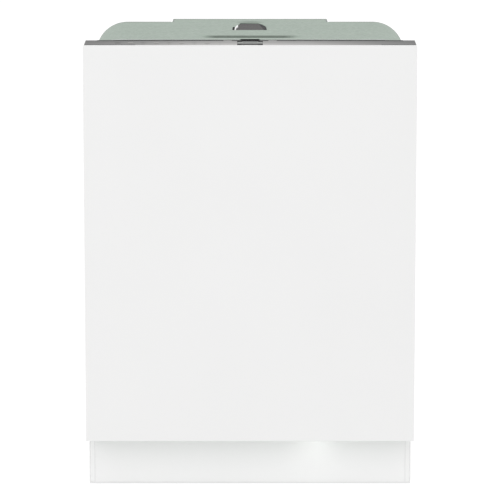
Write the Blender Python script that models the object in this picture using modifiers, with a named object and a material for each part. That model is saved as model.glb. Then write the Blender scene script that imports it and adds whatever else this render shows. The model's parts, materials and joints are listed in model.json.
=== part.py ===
"""A built-in dishwasher behind a furniture front, each piece a separate solid in its real place.

Metres, +Z up. The front faces -Y, the floor is z = 0, and the origin is the middle of the footprint.
A place from front to back is given as a depth: the distance behind the furniture panel's face.
"""

import math

import bmesh
import bpy
from mathutils import Matrix, Vector

# Driving dimensions
WIDTH = 0.598
HEIGHT = 0.820
DEPTH = 0.569
PANEL_WIDTH = 0.597
PANEL_HEIGHT = 0.720
PANEL_THICKNESS = 0.019
PANEL_BOTTOM = 0.095
SHEET = 0.001
GAP = 0.0005

# The door turns about this line, across the machine
HINGE_DEPTH = 0.050
HINGE_Z = 0.103

# Outer shell
SHELL_FRONT = 0.088
SHELL_BACK = 0.505
SHELL_BOTTOM = 0.078
SHELL_CORNER = 0.060
TAB_HALF = 0.1515
TAB_FLANGE = 0.018

# Tub
TUB_FRONT = 0.090
TUB_BACK = 0.548
TUB_HALF = 0.2735
TUB_TOP = 0.7725
TUB_WALL_BOTTOM = 0.150
TUB_CORNER = 0.045
FLANGE = 0.0135
FLOOR_Z = 0.126
LEDGE_Z = 0.140
CENTRE_DEPTH = 0.319
SALT_X, SALT_DEPTH = -0.165, 0.240
CUP_X, CUP_DEPTH = 0.046, 0.300

# Door
DOOR_HALF = 0.2815
DOOR_BOTTOM = 0.0965
INNER_FACE = 0.075
CONSOLE_HALF = 0.2975
CONSOLE_BACK = 0.084
CONSOLE_FRONT_TOP = 0.8150
CONSOLE_BACK_TOP = 0.8185
BUTTON_DEPTH = 0.052

# Racks
RACK_HALF = 0.243
RACK_BACK = 0.525
WIRE = 0.004
WHEEL_RADIUS = 0.018

# Door balance: a pull rod on each side draws a flange against a spring
ROD_X = 0.2895
ROD_Z = 0.137
ROD_RADIUS = 0.0025
LEVER = 0.028
SPRING_FRONT = 0.1185
SPRING_BACK = 0.2910

# Base
BASE_HALF = 0.286
BASE_FRONT = 0.082
BASE_BOTTOM = 0.022
BASE_TOP = 0.112
FOOT_RADIUS = 0.020
STUD_RADIUS = 0.006
FEET = {"front_foot_left": (-0.245, 0.115), "front_foot_right": (0.245, 0.115), "rear_foot": (0.0, 0.505)}


def at(depth):
    """The Y of a place this far behind the furniture panel's face."""
    return depth - DEPTH / 2


def clear_scene():
    for obj in list(bpy.data.objects):
        bpy.data.objects.remove(obj)


def new_collection(name):
    collection = bpy.data.collections.new(name)
    bpy.context.scene.collection.children.link(collection)
    return collection


def material(name, colour, roughness, metallic=0.0):
    made = bpy.data.materials.new(name)
    made.use_nodes = True
    shader = made.node_tree.nodes["Principled BSDF"]
    shader.inputs["Base Color"].default_value = (*colour, 1.0)
    shader.inputs["Roughness"].default_value = roughness
    shader.inputs["Metallic"].default_value = metallic
    return made


clear_scene()
PARTS = new_collection("built_in_dishwasher")
TOOLS = new_collection("cutters")

WHITE_LAMINATE = material("white_laminate", (0.88, 0.88, 0.88), 0.45)
GALVANISED = material("galvanised_steel", (0.46, 0.52, 0.47), 0.40, 0.9)
STAINLESS = material("stainless_steel", (0.62, 0.62, 0.60), 0.28, 1.0)
CONSOLE_GREY = material("silver_console", (0.52, 0.51, 0.50), 0.35, 0.6)
BLACK_PLASTIC = material("black_plastic", (0.03, 0.03, 0.03), 0.45)
GREY_PLASTIC = material("grey_plastic", (0.32, 0.33, 0.35), 0.50)
WHITE_PLASTIC = material("white_plastic", (0.80, 0.80, 0.78), 0.45)
BLUE_PLASTIC = material("blue_plastic", (0.12, 0.25, 0.50), 0.45)
RUBBER = material("seal_rubber", (0.07, 0.07, 0.07), 0.80)
FELT = material("insulation_felt", (0.13, 0.12, 0.11), 0.95)
COATED_WIRE = material("coated_wire", (0.55, 0.57, 0.60), 0.40)
CLEAR_LENS = material("clear_lens", (0.90, 0.92, 0.95), 0.10)


# Shapes


def add(name, bm, finish):
    """A new sub-part from a bmesh, with its faces pointing out."""
    bmesh.ops.recalc_face_normals(bm, faces=bm.faces)
    mesh = bpy.data.meshes.new(name)
    bm.to_mesh(mesh)
    bm.free()
    mesh.materials.append(finish)
    obj = bpy.data.objects.new(name, mesh)
    PARTS.objects.link(obj)
    return obj


def box(name, x, depth, z, finish=GREY_PLASTIC, bevel=0.0):
    """A block between two values of x, depth and z."""
    bm = bmesh.new()
    bmesh.ops.create_cube(bm, size=1.0)
    size = (x[1] - x[0], depth[1] - depth[0], z[1] - z[0])
    middle = ((x[0] + x[1]) / 2, at((depth[0] + depth[1]) / 2), (z[0] + z[1]) / 2)
    bmesh.ops.scale(bm, vec=size, verts=bm.verts)
    bmesh.ops.translate(bm, vec=middle, verts=bm.verts)
    obj = add(name, bm, finish)
    if bevel:
        soften(obj, bevel)
    return obj


def soften(obj, width, segments=1):
    modifier = obj.modifiers.new("Edges", "BEVEL")
    modifier.width = width
    modifier.segments = segments
    modifier.limit_method = "ANGLE"
    return modifier


def cylinder(name, start, end, radius, finish=GREY_PLASTIC, sides=20, end_radius=None):
    """A cylinder or cone between two points given as (x, depth, z)."""
    a, b = (Vector((p[0], at(p[1]), p[2])) for p in (start, end))
    bm = bmesh.new()
    turn = (b - a).to_track_quat("Z", "Y").to_matrix().to_4x4()
    bmesh.ops.create_cone(
        bm,
        cap_ends=True,
        segments=sides,
        radius1=radius,
        radius2=radius if end_radius is None else end_radius,
        depth=(b - a).length,
        matrix=Matrix.Translation((a + b) / 2) @ turn,
    )
    return add(name, bm, finish)


def rounded(points, radius, steps=3):
    """The outline again, with each corner turned into an arc."""
    out = []
    for i, corner in enumerate(points):
        here = Vector(corner)
        before = (Vector(points[i - 1]) - here).normalized()
        after = (Vector(points[(i + 1) % len(points)]) - here).normalized()
        half = before.angle(after) / 2
        centre = here + (before + after).normalized() * radius / math.sin(half)
        reach = radius / math.tan(half)
        first, last = here + before * reach - centre, here + after * reach - centre
        for k in range(steps + 1):
            out.append(tuple(centre + radius * first.slerp(last, k / steps)))
    return out


def prism(name, outline, along, low, high, finish=GREY_PLASTIC):
    """A flat outline made thick. Its two coordinates are the ones that "along" isn't, in x, depth, z order."""
    place = {
        "x": lambda a, b, t: (t, at(a), b),
        "depth": lambda a, b, t: (a, at(t), b),
        "z": lambda a, b, t: (a, at(b), t),
    }[along]
    bm = bmesh.new()
    face = bm.faces.new([bm.verts.new(place(a, b, low)) for a, b in outline])
    made = bmesh.ops.extrude_face_region(bm, geom=[face])["geom"]
    far = [v for v in made if isinstance(v, bmesh.types.BMVert)]
    travel = Vector(place(0, 0, high)) - Vector(place(0, 0, low))
    bmesh.ops.translate(bm, vec=travel, verts=far)
    return add(name, bm, finish)


def loft(name, rings, finish, cap_last=False):
    """An open surface through rings of the same number of (x, depth, z) points."""
    bm = bmesh.new()
    rows = [[bm.verts.new((x, at(d), z)) for x, d, z in ring] for ring in rings]
    for one, two in zip(rows, rows[1:]):
        for i in range(len(one) - 1):
            bm.faces.new((one[i], one[i + 1], two[i + 1], two[i]))
    if cap_last:
        bm.faces.new(rows[-1])
    return add(name, bm, finish)


def thicken(obj, thickness=SHEET, offset=0.0):
    """A sheet's thickness. With no offset it's shared by both sides of the surface."""
    modifier = obj.modifiers.new("Thickness", "SOLIDIFY")
    modifier.thickness = thickness
    modifier.offset = offset
    modifier.use_even_offset = True


def tray(name, x, depth, z, open_side, finish, thickness=SHEET):
    """A box with one side missing, its walls shared by both sides of the given faces."""
    obj = box(name, x, depth, z, finish)
    bm = bmesh.new()
    bm.from_mesh(obj.data)
    gone = [f for f in bm.faces if f.normal.dot(Vector(open_side)) > 0.9]
    bmesh.ops.delete(bm, geom=gone, context="FACES")
    bm.to_mesh(obj.data)
    bm.free()
    thicken(obj, thickness)
    return obj


def turned(name, profile, x, depth, finish, steps=28):
    """A profile of (radius, z) turned about an upright line, listed so that it ends running down its outer side."""
    mesh = bpy.data.meshes.new(name)
    edges = [(i, i + 1) for i in range(len(profile) - 1)]
    mesh.from_pydata([(r, 0.0, z) for r, z in profile], edges, [])
    mesh.materials.append(finish)
    obj = bpy.data.objects.new(name, mesh)
    obj.location = (x, at(depth), 0.0)
    PARTS.objects.link(obj)
    screw = obj.modifiers.new("Turn", "SCREW")
    screw.steps = screw.render_steps = steps
    screw.use_merge_vertices = True
    screw.merge_threshold = 0.00005
    return obj


def tube(name, points, radius, finish, resolution=2):
    """A round bar with closed ends along points given as (x, depth, z)."""
    curve = bpy.data.curves.new(name, "CURVE")
    curve.dimensions = "3D"
    curve.bevel_depth = radius
    curve.bevel_resolution = resolution
    curve.use_fill_caps = True
    spline = curve.splines.new("POLY")
    spline.points.add(len(points) - 1)
    for point, (x, depth, z) in zip(spline.points, points):
        point.co = (x, at(depth), z, 1.0)
    curve.materials.append(finish)
    obj = bpy.data.objects.new(name, curve)
    PARTS.objects.link(obj)
    return obj


def combine(obj, tool, operation):
    modifier = obj.modifiers.new(tool.name, "BOOLEAN")
    modifier.operation = operation
    modifier.object = tool
    PARTS.objects.unlink(tool)
    TOOLS.objects.link(tool)
    tool.hide_render = True
    tool.display_type = "WIRE"


def cut(obj, *tools):
    for tool in tools:
        combine(obj, tool, "DIFFERENCE")


def join(obj, *tools):
    for tool in tools:
        combine(obj, tool, "UNION")


def arch(half, bottom, top, radius, steps=6, extra=()):
    """(x, z) points up the left side, over rounded corners and down the right side."""
    left = [(-half, bottom)]
    for k in range(steps + 1):
        turn = math.pi / 2 * k / steps
        left.append((-half + radius * (1 - math.cos(turn)), top - radius * (1 - math.sin(turn))))
    flat = [(x, top) for x in extra]
    return left + flat + [(-x, z) for x, z in reversed(left)]


def basket(name, x, depth, z, cells, finish=COATED_WIRE):
    """An open wire basket: a grid floor with walls of wires. Cells are counted across, along and up."""
    across, along, up = cells
    bm = bmesh.new()
    bmesh.ops.create_grid(bm, x_segments=across, y_segments=along, size=0.5)
    size = (x[1] - x[0], depth[1] - depth[0], 1.0)
    bmesh.ops.scale(bm, vec=size, verts=bm.verts)
    middle = ((x[0] + x[1]) / 2, at((depth[0] + depth[1]) / 2), z[0])
    bmesh.ops.translate(bm, vec=middle, verts=bm.verts)
    rim = [e for e in bm.edges if e.is_boundary]
    for _ in range(up):
        made = bmesh.ops.extrude_edge_only(bm, edges=rim)["geom"]
        top = [v for v in made if isinstance(v, bmesh.types.BMVert)]
        bmesh.ops.translate(bm, vec=(0, 0, (z[1] - z[0]) / up), verts=top)
        rim = [e for e in made if isinstance(e, bmesh.types.BMEdge) and set(e.verts) <= set(top)]
    obj = add(name, bm, finish)
    wires = obj.modifiers.new("Wires", "WIREFRAME")
    wires.thickness = WIRE
    wires.use_boundary = True
    wires.use_replace = True
    wires.use_even_offset = False
    return obj


# Housing


def outer_shell():
    """Galvanised wrapper over the top and sides, with a tab at the back, a cut-out and a latch notch."""
    half, top = WIDTH / 2 - SHEET / 2, HEIGHT - SHEET / 2
    outline = arch(half, SHELL_BOTTOM, top, SHELL_CORNER, extra=(-TAB_HALF, TAB_HALF))
    rings = [[(x, d, z) for x, z in outline] for d in (SHELL_FRONT, SHELL_BACK)]
    shell = loft("outer_shell", rings, GALVANISED)
    bm = bmesh.new()
    bm.from_mesh(shell.data)
    edge = [
        e
        for e in bm.edges
        if e.is_boundary and all(abs(v.co.x) < TAB_HALF + GAP and v.co.y > at(SHELL_BACK) - GAP for v in e.verts)
    ]
    end = DEPTH - SHEET / 2
    for step in ((0, end - SHELL_BACK, 0), (0, 0, -TAB_FLANGE)):
        made = bmesh.ops.extrude_edge_only(bm, edges=edge)["geom"]
        moved = [v for v in made if isinstance(v, bmesh.types.BMVert)]
        bmesh.ops.translate(bm, vec=step, verts=moved)
        edge = [e for e in made if isinstance(e, bmesh.types.BMEdge) and set(e.verts) <= set(moved)]
    bmesh.ops.recalc_face_normals(bm, faces=bm.faces)
    bm.to_mesh(shell.data)
    bm.free()
    thicken(shell)
    right = [(0.032, 0.297), (0.031, 0.350), (0.0235, 0.420), (0.0155, 0.455)]
    window = rounded([(-0.032, 0.297), *right, (-0.019, 0.459)], 0.0035)
    low, high = HEIGHT - 0.008, HEIGHT + 0.005
    notch = (0.070, 0.1085)
    cut(
        shell,
        prism("window_cutter", window, "z", low, high),
        box("notch_cutter", (-0.0170, 0.0170), notch, (low, high)),
        box("wing_notch_cutter", (-0.0340, 0.0340), (0.070, 0.0960), (low, high)),
    )


def insulation():
    """Felt over the tub, seen through the shell's cut-out, and felt behind it."""
    mat = box("top_insulation", (-0.235, 0.235), (0.115, 0.500), (0.7745, 0.7900), FELT)
    join(mat, box("mat_hump", (-0.048, 0.048), (0.285, 0.480), (0.785, 0.8185), FELT))
    box("rear_insulation", (-0.262, 0.262), (0.5492, 0.5560), (0.165, 0.755), FELT)


def base_tray():
    """Floor pan that carries the machine, with a boss for each foot and holes for the connections."""
    walls = (BASE_BOTTOM + 0.00125, BASE_TOP)
    pan = tray(
        "base_tray",
        (-BASE_HALF + 0.00125, BASE_HALF - 0.00125),
        (BASE_FRONT + 0.00125, TUB_BACK - 0.00125),
        walls,
        (0, 0, 1),
        BLACK_PLASTIC,
        0.0025,
    )
    for name, (x, d) in FEET.items():
        boss_top = 0.094 if name != "rear_foot" else 0.100
        join(pan, cylinder(name + "_boss", (x, d, BASE_BOTTOM + 0.001), (x, d, boss_top), 0.014, BLACK_PLASTIC, 12))
    for x in (-0.20, 0.20):
        join(pan, box(f"clip_{x:+.1f}", (x - 0.015, x + 0.015), (0.0785, 0.084), (0.045, 0.065), BLACK_PLASTIC))
    for name, (x, d) in FEET.items():
        cut(pan, cylinder(name + "_bore", (x, d, 0.010), (x, d, 0.120), STUD_RADIUS + 0.0008, sides=12))
    cut(
        pan,
        cylinder("valve_hole", (-0.2125, 0.530, 0.070), (-0.2125, 0.560, 0.070), 0.0145, sides=16),
        cylinder("drain_hole", (0.160, 0.530, 0.080), (0.160, 0.560, 0.080), 0.0125, sides=16),
        box("power_hole", (0.2125, 0.2435), (0.530, 0.560), (0.0545, 0.0805)),
    )


def feet():
    for name, (x, d) in FEET.items():
        foot = cylinder(name, (x, d, 0.0), (x, d, 0.012), FOOT_RADIUS, BLACK_PLASTIC, 16, FOOT_RADIUS * 0.8)
        join(foot, cylinder(name + "_stud", (x, d, 0.010), (x, d, 0.090), STUD_RADIUS, BLACK_PLASTIC, 12))


def plinth():
    box("plinth_board", (-0.296, 0.296), (0.062, 0.078), (0.001, 0.084), WHITE_LAMINATE, 0.0008)


# Tub


def tub():
    inner = arch(TUB_HALF, TUB_WALL_BOTTOM, TUB_TOP, TUB_CORNER)
    outer = arch(TUB_HALF + FLANGE, TUB_WALL_BOTTOM, TUB_TOP + FLANGE, TUB_CORNER + FLANGE)
    rings = [[(x, TUB_FRONT, z) for x, z in outer]]
    rings += [[(x, d, z) for x, z in inner] for d in (TUB_FRONT, TUB_BACK)]
    thicken(loft("tub_shell", rings, STAINLESS, cap_last=True))


def tub_floor():
    """Floor pan with a ledge each side for the lower rack's wheels, and a lip turned down at the front."""
    rim, foot = TUB_HALF - 0.0015, 0.226
    left = [(-rim, 0.158), (-rim, LEDGE_Z), (-foot - 0.006, LEDGE_Z), (-foot, FLOOR_Z)]
    section = left + [(-x, z) for x, z in reversed(left)]
    rings = [[(x, TUB_FRONT, 0.114) for x, _ in section]]
    rings += [[(x, d, z - SHEET / 2) for x, z in section] for d in (TUB_FRONT, TUB_BACK - 0.0012)]
    floor = loft("tub_floor", rings, STAINLESS)
    thicken(floor)
    cut(
        floor,
        cylinder("sump_hole", (0, CENTRE_DEPTH, 0.10), (0, CENTRE_DEPTH, 0.15), 0.088, sides=32),
        cylinder("salt_hole", (SALT_X, SALT_DEPTH, 0.10), (SALT_X, SALT_DEPTH, 0.15), 0.034, sides=24),
    )


def door_seal():
    line = arch(TUB_HALF + 0.0065, TUB_WALL_BOTTOM + 0.002, TUB_TOP + 0.0065, TUB_CORNER + 0.0065)
    tube("door_seal", [(x, 0.0824, z) for x, z in line], 0.0068, RUBBER)


def sump():
    """Bowl under the tub floor, with the post that feeds and carries the lower spray arm."""
    profile = [
        (0.0, 0.064),
        (0.070, 0.064),
        (0.0845, 0.118),
        (0.0960, 0.1247),
        (0.0960, 0.1220),
        (0.0880, 0.117),
        (0.0725, 0.061),
        (0.0, 0.061),
    ]
    bowl = turned("sump", profile, 0, CENTRE_DEPTH, BLACK_PLASTIC)
    post = (0, CENTRE_DEPTH)
    join(
        bowl,
        cylinder("post", (*post, 0.062), (*post, 0.1485), 0.013, sides=16),
        cylinder("spigot", (*post, 0.140), (*post, 0.1600), 0.006, sides=12),
    )


def filters():
    """Flat filter over the sump, and the twist-out filter cup in it."""
    post = (0, CENTRE_DEPTH)
    cup = (CUP_X, CUP_DEPTH)
    plate = cylinder("filter_plate", (*post, 0.1268), (*post, 0.1288), 0.115, STAINLESS, 32)
    cut(
        plate,
        cylinder("post_hole", (*post, 0.12), (*post, 0.14), 0.0150, sides=16),
        cylinder("cup_hole", (*cup, 0.12), (*cup, 0.14), 0.0265, sides=20),
    )
    body = cylinder("filter_cup", (*cup, 0.074), (*cup, 0.131), 0.018, GREY_PLASTIC, 20, 0.024)
    join(
        body,
        cylinder("cup_collar", (*cup, 0.1294), (*cup, 0.1335), 0.031, sides=20),
        box("cup_handle", (CUP_X - 0.022, CUP_X + 0.022), (CUP_DEPTH - 0.004, CUP_DEPTH + 0.004), (0.132, 0.1402)),
    )


def softener():
    """Water softener in the base, its salt mouth under the tub floor, and the screw cap."""
    mouth = (SALT_X, SALT_DEPTH)
    tank = box("softener", (-0.250, -0.110), (0.165, 0.300), (0.030, 0.108), WHITE_PLASTIC, 0.006)
    join(tank, cylinder("salt_mouth", (*mouth, 0.100), (*mouth, 0.1248), 0.0330, sides=20))
    cut(tank, cylinder("salt_bore", (*mouth, 0.060), (*mouth, 0.140), 0.0295, sides=20))
    cap = cylinder("salt_cap", (*mouth, 0.1268), (*mouth, 0.1345), 0.040, GREY_PLASTIC, 24, 0.037)
    join(
        cap,
        cylinder("cap_thread", (*mouth, 0.112), (*mouth, 0.128), 0.0280, sides=20),
        box("cap_grip", (SALT_X - 0.026, SALT_X + 0.026), (SALT_DEPTH - 0.004, SALT_DEPTH + 0.004), (0.133, 0.1402)),
    )
    cut(cap, cylinder("cap_hollow", (*mouth, 0.100), (*mouth, 0.1280), 0.0252, sides=20))


# Machinery


def machinery():
    """Pumps, valves and electrics in the base, and the air-break chamber on the left wall."""
    z, d = 0.076, 0.335
    pump = cylinder("circulation_pump", (0.099, d, z), (0.140, d, z), 0.046, BLACK_PLASTIC, 20)
    join(
        pump,
        cylinder("pump_motor", (0.135, d, z), (0.235, d, z), 0.036, sides=20),
        cylinder("pump_outlet", (0.118, d + 0.025, z), (0.118, d + 0.080, z), 0.014, sides=12),
    )
    drain = cylinder("drain_pump", (0.054, 0.424, 0.062), (0.054, 0.470, 0.062), 0.026, WHITE_PLASTIC, 16)
    join(drain, cylinder("drain_motor", (0.054, 0.465, 0.062), (0.054, 0.505, 0.062), 0.019, sides=12))
    valve = box("inlet_valve", (-0.235, -0.190), (0.495, 0.536), (0.045, 0.098), WHITE_PLASTIC, 0.003)
    join(valve, cylinder("valve_thread", (-0.2125, 0.530, 0.070), (-0.2125, 0.566, 0.070), 0.0130, sides=16))
    outlet = cylinder("drain_outlet", (0.160, 0.500, 0.080), (0.160, 0.566, 0.080), 0.0110, BLACK_PLASTIC, 16)
    cut(outlet, cylinder("outlet_bore", (0.160, 0.510, 0.080), (0.160, 0.580, 0.080), 0.0085, sides=16))
    socket = box("power_inlet", (0.2133, 0.2427), (0.520, 0.5505), (0.0553, 0.0797), BLACK_PLASTIC)
    cut(socket, box("socket_recess", (0.2165, 0.2395), (0.532, 0.560), (0.0585, 0.0765)))
    box("control_box", (0.115, 0.255), (0.140, 0.255), (0.030, 0.082), GREY_PLASTIC, 0.003)
    box("water_chamber", (-0.2955, -0.2765), (0.170, 0.440), (0.200, 0.680), WHITE_PLASTIC, 0.004)


def riser():
    """Duct up the tub's back wall to the upper arm's port and the ceiling nozzle."""
    duct = box("spray_riser", (-0.013, 0.013), (0.531, 0.5465), (0.1275, 0.7660), GREY_PLASTIC)
    join(
        duct,
        box("ceiling_duct", (-0.012, 0.012), (CENTRE_DEPTH, 0.540), (0.7540, 0.7660)),
        cylinder("ceiling_nozzle", (0, CENTRE_DEPTH, 0.7430), (0, CENTRE_DEPTH, 0.7600), 0.024, sides=20, end_radius=0.032),
        cylinder("dock_port", (0, 0.521, 0.424), (0, 0.535, 0.424), 0.0065, sides=12),
    )


def arm_outline(reach, hub, waist, tip):
    """A two-ended spray arm seen from above, its ends swept opposite ways."""
    one_side = [(hub * 0.9, -hub * 0.55), (reach * 0.55, -waist), (reach, -tip), (reach, tip), (reach * 0.5, waist * 1.5)]
    one_side.append((hub * 0.9, hub * 0.55))
    return one_side + [(-a, -b) for a, b in one_side]


def spray_arm(name, reach, z):
    bottom, top = z
    outline = [(a, b + CENTRE_DEPTH) for a, b in arm_outline(reach, 0.026, 0.015, 0.011)]
    arm = prism(name, outline, "z", bottom + 0.0010, top - 0.0030, GREY_PLASTIC)
    soften(arm, 0.0025)
    join(arm, cylinder(name + "_hub", (0, CENTRE_DEPTH, bottom), (0, CENTRE_DEPTH, top), 0.026, sides=20))
    return arm


def spray_arms():
    lower = spray_arm("lower_spray_arm", 0.205, (0.1492, 0.1670))
    cut(lower, cylinder("lower_arm_bore", (0, CENTRE_DEPTH, 0.140), (0, CENTRE_DEPTH, 0.1610), 0.0066, sides=12))
    upper = spray_arm("upper_spray_arm", 0.198, (0.4020, 0.4175))
    cut(upper, cylinder("upper_arm_bore", (0, CENTRE_DEPTH, 0.4080), (0, CENTRE_DEPTH, 0.430), 0.0066, sides=12))
    feed = box("feed_tube", (-0.012, 0.012), (CENTRE_DEPTH - 0.015, 0.5203), (0.4190, 0.4292), GREY_PLASTIC)
    join(feed, cylinder("feed_spigot", (0, CENTRE_DEPTH, 0.4090), (0, CENTRE_DEPTH, 0.4220), 0.006, sides=12))


# Racks


def channel(name, side, z):
    """C-shaped rail on the tub's side wall, open towards the middle."""
    bottom, top = z
    wall, lip, t = 0.2710, 0.2570, 0.0015
    section = [
        (wall, bottom),
        (wall, top),
        (lip, top),
        (lip, top - t),
        (wall - t, top - t),
        (wall - t, bottom + t),
        (lip, bottom + t),
        (lip, bottom),
    ]
    prism(name, [(side * x, zz) for x, zz in section], "depth", 0.100, 0.530, STAINLESS)


def runner(name, side, z, web):
    """Bar that runs in a channel, with the web that carries it on the rack's side."""
    bottom, top = z
    low, high = web
    edge, inner, outer = RACK_HALF - 0.0035, 0.2590, 0.2680
    section = [
        (edge, low),
        (inner, low),
        (inner, bottom),
        (outer, bottom),
        (outer, top),
        (inner, top),
        (inner, high),
        (edge, high),
    ]
    return prism(name, [(side * x, zz) for x, zz in section], "depth", 0.112, 0.5195, COATED_WIRE)


def racks():
    lower = basket("lower_rack", (-RACK_HALF, RACK_HALF), (0.102, RACK_BACK), (0.176, 0.300), (8, 7, 2))
    for side in (-1, 1):
        for d in (0.190, 0.445):
            tag = f"{'left' if side < 0 else 'right'}_{d:.2f}"
            x = [side * v for v in (0.2465, 0.2585, 0.2380)]
            strut = sorted((side * 0.2405, side * 0.2475))
            join(
                lower,
                box(f"strut_{tag}", strut, (d - 0.006, d + 0.006), (0.155, 0.182), COATED_WIRE),
                cylinder(f"wheel_{tag}", (x[0], d, 0.1592), (x[1], d, 0.1592), WHEEL_RADIUS, sides=16),
            )
    upper = basket("upper_rack", (-RACK_HALF, RACK_HALF), (0.104, RACK_BACK), (0.4335, 0.545), (8, 7, 2))
    shelf = basket("cutlery_tray", (-RACK_HALF, RACK_HALF), (0.104, RACK_BACK), (0.7000, 0.738), (8, 7, 1))
    for side, hand in ((-1, "left"), (1, "right")):
        channel(f"upper_rail_{hand}", side, (0.4700, 0.5015))
        channel(f"tray_rail_{hand}", side, (0.7040, 0.7280))
        join(upper, runner(f"upper_runner_{hand}", side, (0.4745, 0.4970), (0.4820, 0.4900)))
        join(shelf, runner(f"tray_runner_{hand}", side, (0.7085, 0.7235), (0.7120, 0.7200)))


def comb(name, depth, count=9, pitch=0.028, first=-0.220):
    """A row of plate tines that folds down about its bottom wire."""
    bottom, bar, top, half = 0.1785, 0.1825, 0.2500, 0.0016
    last = first + pitch * (count - 1)
    outline = [(first - half, bottom), (last + half, bottom)]
    for i in reversed(range(count)):
        x = first + pitch * i
        outline += [(x + half, bar), (x + half, top), (x - half, top), (x - half, bar)]
    row = prism(name, outline, "depth", depth - half, depth + half, COATED_WIRE)
    return row


def folding_parts():
    comb("folding_tines_front", 0.255)
    comb("folding_tines_rear", 0.345)
    bm = bmesh.new()
    bmesh.ops.create_grid(bm, x_segments=2, y_segments=8, size=0.5)
    bmesh.ops.scale(bm, vec=(0.074, 0.360, 1.0), verts=bm.verts)
    bmesh.ops.translate(bm, vec=(-0.198, at(0.315), 0.5220), verts=bm.verts)
    shelf = add("cup_shelf", bm, COATED_WIRE)
    wires = shelf.modifiers.new("Wires", "WIREFRAME")
    wires.thickness = WIRE
    wires.use_boundary = True
    wires.use_even_offset = False


# Door


def door_panels():
    box(
        "furniture_panel",
        (-PANEL_WIDTH / 2, PANEL_WIDTH / 2),
        (0.0, PANEL_THICKNESS),
        (PANEL_BOTTOM, PANEL_BOTTOM + PANEL_HEIGHT),
        WHITE_LAMINATE,
        0.0008,
    )
    tray("door_frame", (-DOOR_HALF, DOOR_HALF), (0.0202, 0.0590), (DOOR_BOTTOM, 0.7440), (0, 1, 0), GALVANISED)
    liner = tray(
        "inner_door",
        (-DOOR_HALF + 0.001, DOOR_HALF - 0.001),
        (0.0605, INNER_FACE - SHEET / 2),
        (DOOR_BOTTOM + 0.001, 0.7880),
        (0, -1, 0),
        STAINLESS,
    )
    for side in (-1, 1):
        x = sorted((side * 0.241, side * 0.264))
        track = box(f"track_{side:+d}", x, (INNER_FACE - 0.0007, 0.0860), (0.120, 0.540), STAINLESS, 0.003)
        join(liner, track)
    cut(liner, box("dispenser_hole", (-0.0405, 0.1005), (0.055, 0.095), (0.3795, 0.4805)))
    box("floor_beam_lens", (0.105, 0.135), (0.022, 0.032), (0.0930, 0.0956), CLEAR_LENS)


def console_top(depth):
    """The height of the console's sloping top at a depth."""
    share = (depth - 0.0203) / (CONSOLE_BACK - 0.0203)
    return CONSOLE_FRONT_TOP + share * (CONSOLE_BACK_TOP - CONSOLE_FRONT_TOP)


BUTTONS = {
    "power_button": (-0.238, 0.0065),
    "program_button": (-0.192, 0.0048),
    "option_button": (-0.146, 0.0048),
    "start_button": (-0.100, 0.0048),
}


def console():
    """Control panel along the door's top edge, with its push buttons."""
    front, back, step = 0.0203, CONSOLE_BACK, 0.0585
    section = [
        (front, 0.7455),
        (front, CONSOLE_FRONT_TOP),
        (back, CONSOLE_BACK_TOP),
        (back, 0.7905),
        (step, 0.7905),
        (step, 0.7455),
    ]
    panel = prism("console", section, "x", -CONSOLE_HALF, CONSOLE_HALF, CONSOLE_GREY)
    bm = bmesh.new()
    bm.from_mesh(panel.data)
    under = [f for f in bm.faces if f.normal.z < -0.9 and f.calc_center_median().z < 0.75]
    bmesh.ops.delete(bm, geom=under, context="FACES")
    bm.to_mesh(panel.data)
    bm.free()
    thicken(panel, 0.0022, -1.0)
    cut(panel, box("lock_notch", (-0.0235, 0.0235), (0.0390, 0.0950), (0.780, 0.830)))
    for name, (x, radius) in BUTTONS.items():
        top = console_top(BUTTON_DEPTH)
        cut(
            panel,
            cylinder(name + "_hole", (x, BUTTON_DEPTH, top - 0.006), (x, BUTTON_DEPTH, top + 0.004), radius + 0.0006, sides=16),
        )
        button = cylinder(name, (x, BUTTON_DEPTH, top - 0.007), (x, BUTTON_DEPTH, top + 0.0015), radius, BLACK_PLASTIC, 16)
        soften(button, 0.0004)


def latch():
    """Lock in the console, its hook, and the striker on the tub's top edge."""
    housing = box("latch_housing", (-0.0228, 0.0228), (0.0400, 0.0836), (0.7925, 0.8176), GREY_PLASTIC, 0.0006)
    cut(housing, box("hook_slot", (-0.0062, 0.0062), (0.0550, 0.0950), (0.7990, 0.8140)))
    shape = [(0.058, 0.8035), (0.0935, 0.8035), (0.0935, 0.7995), (0.097, 0.7995), (0.097, 0.8080), (0.058, 0.8080)]
    prism("latch_hook", shape, "x", -0.0050, 0.0050, STAINLESS)
    striker = box("latch_striker", (-0.0160, 0.0160), (0.0865, 0.1070), (0.7880, 0.8192), BLACK_PLASTIC)
    join(striker, box("striker_wings", (-0.0330, 0.0330), (0.0865, 0.0950), (0.8130, 0.8188), BLACK_PLASTIC))
    cut(
        striker,
        box("striker_slot", (-0.0070, 0.0070), (0.0800, 0.1020), (0.7988, 0.8120)),
        box("striker_pocket", (-0.0070, 0.0070), (0.0920, 0.1020), (0.7925, 0.8000)),
    )


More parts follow.
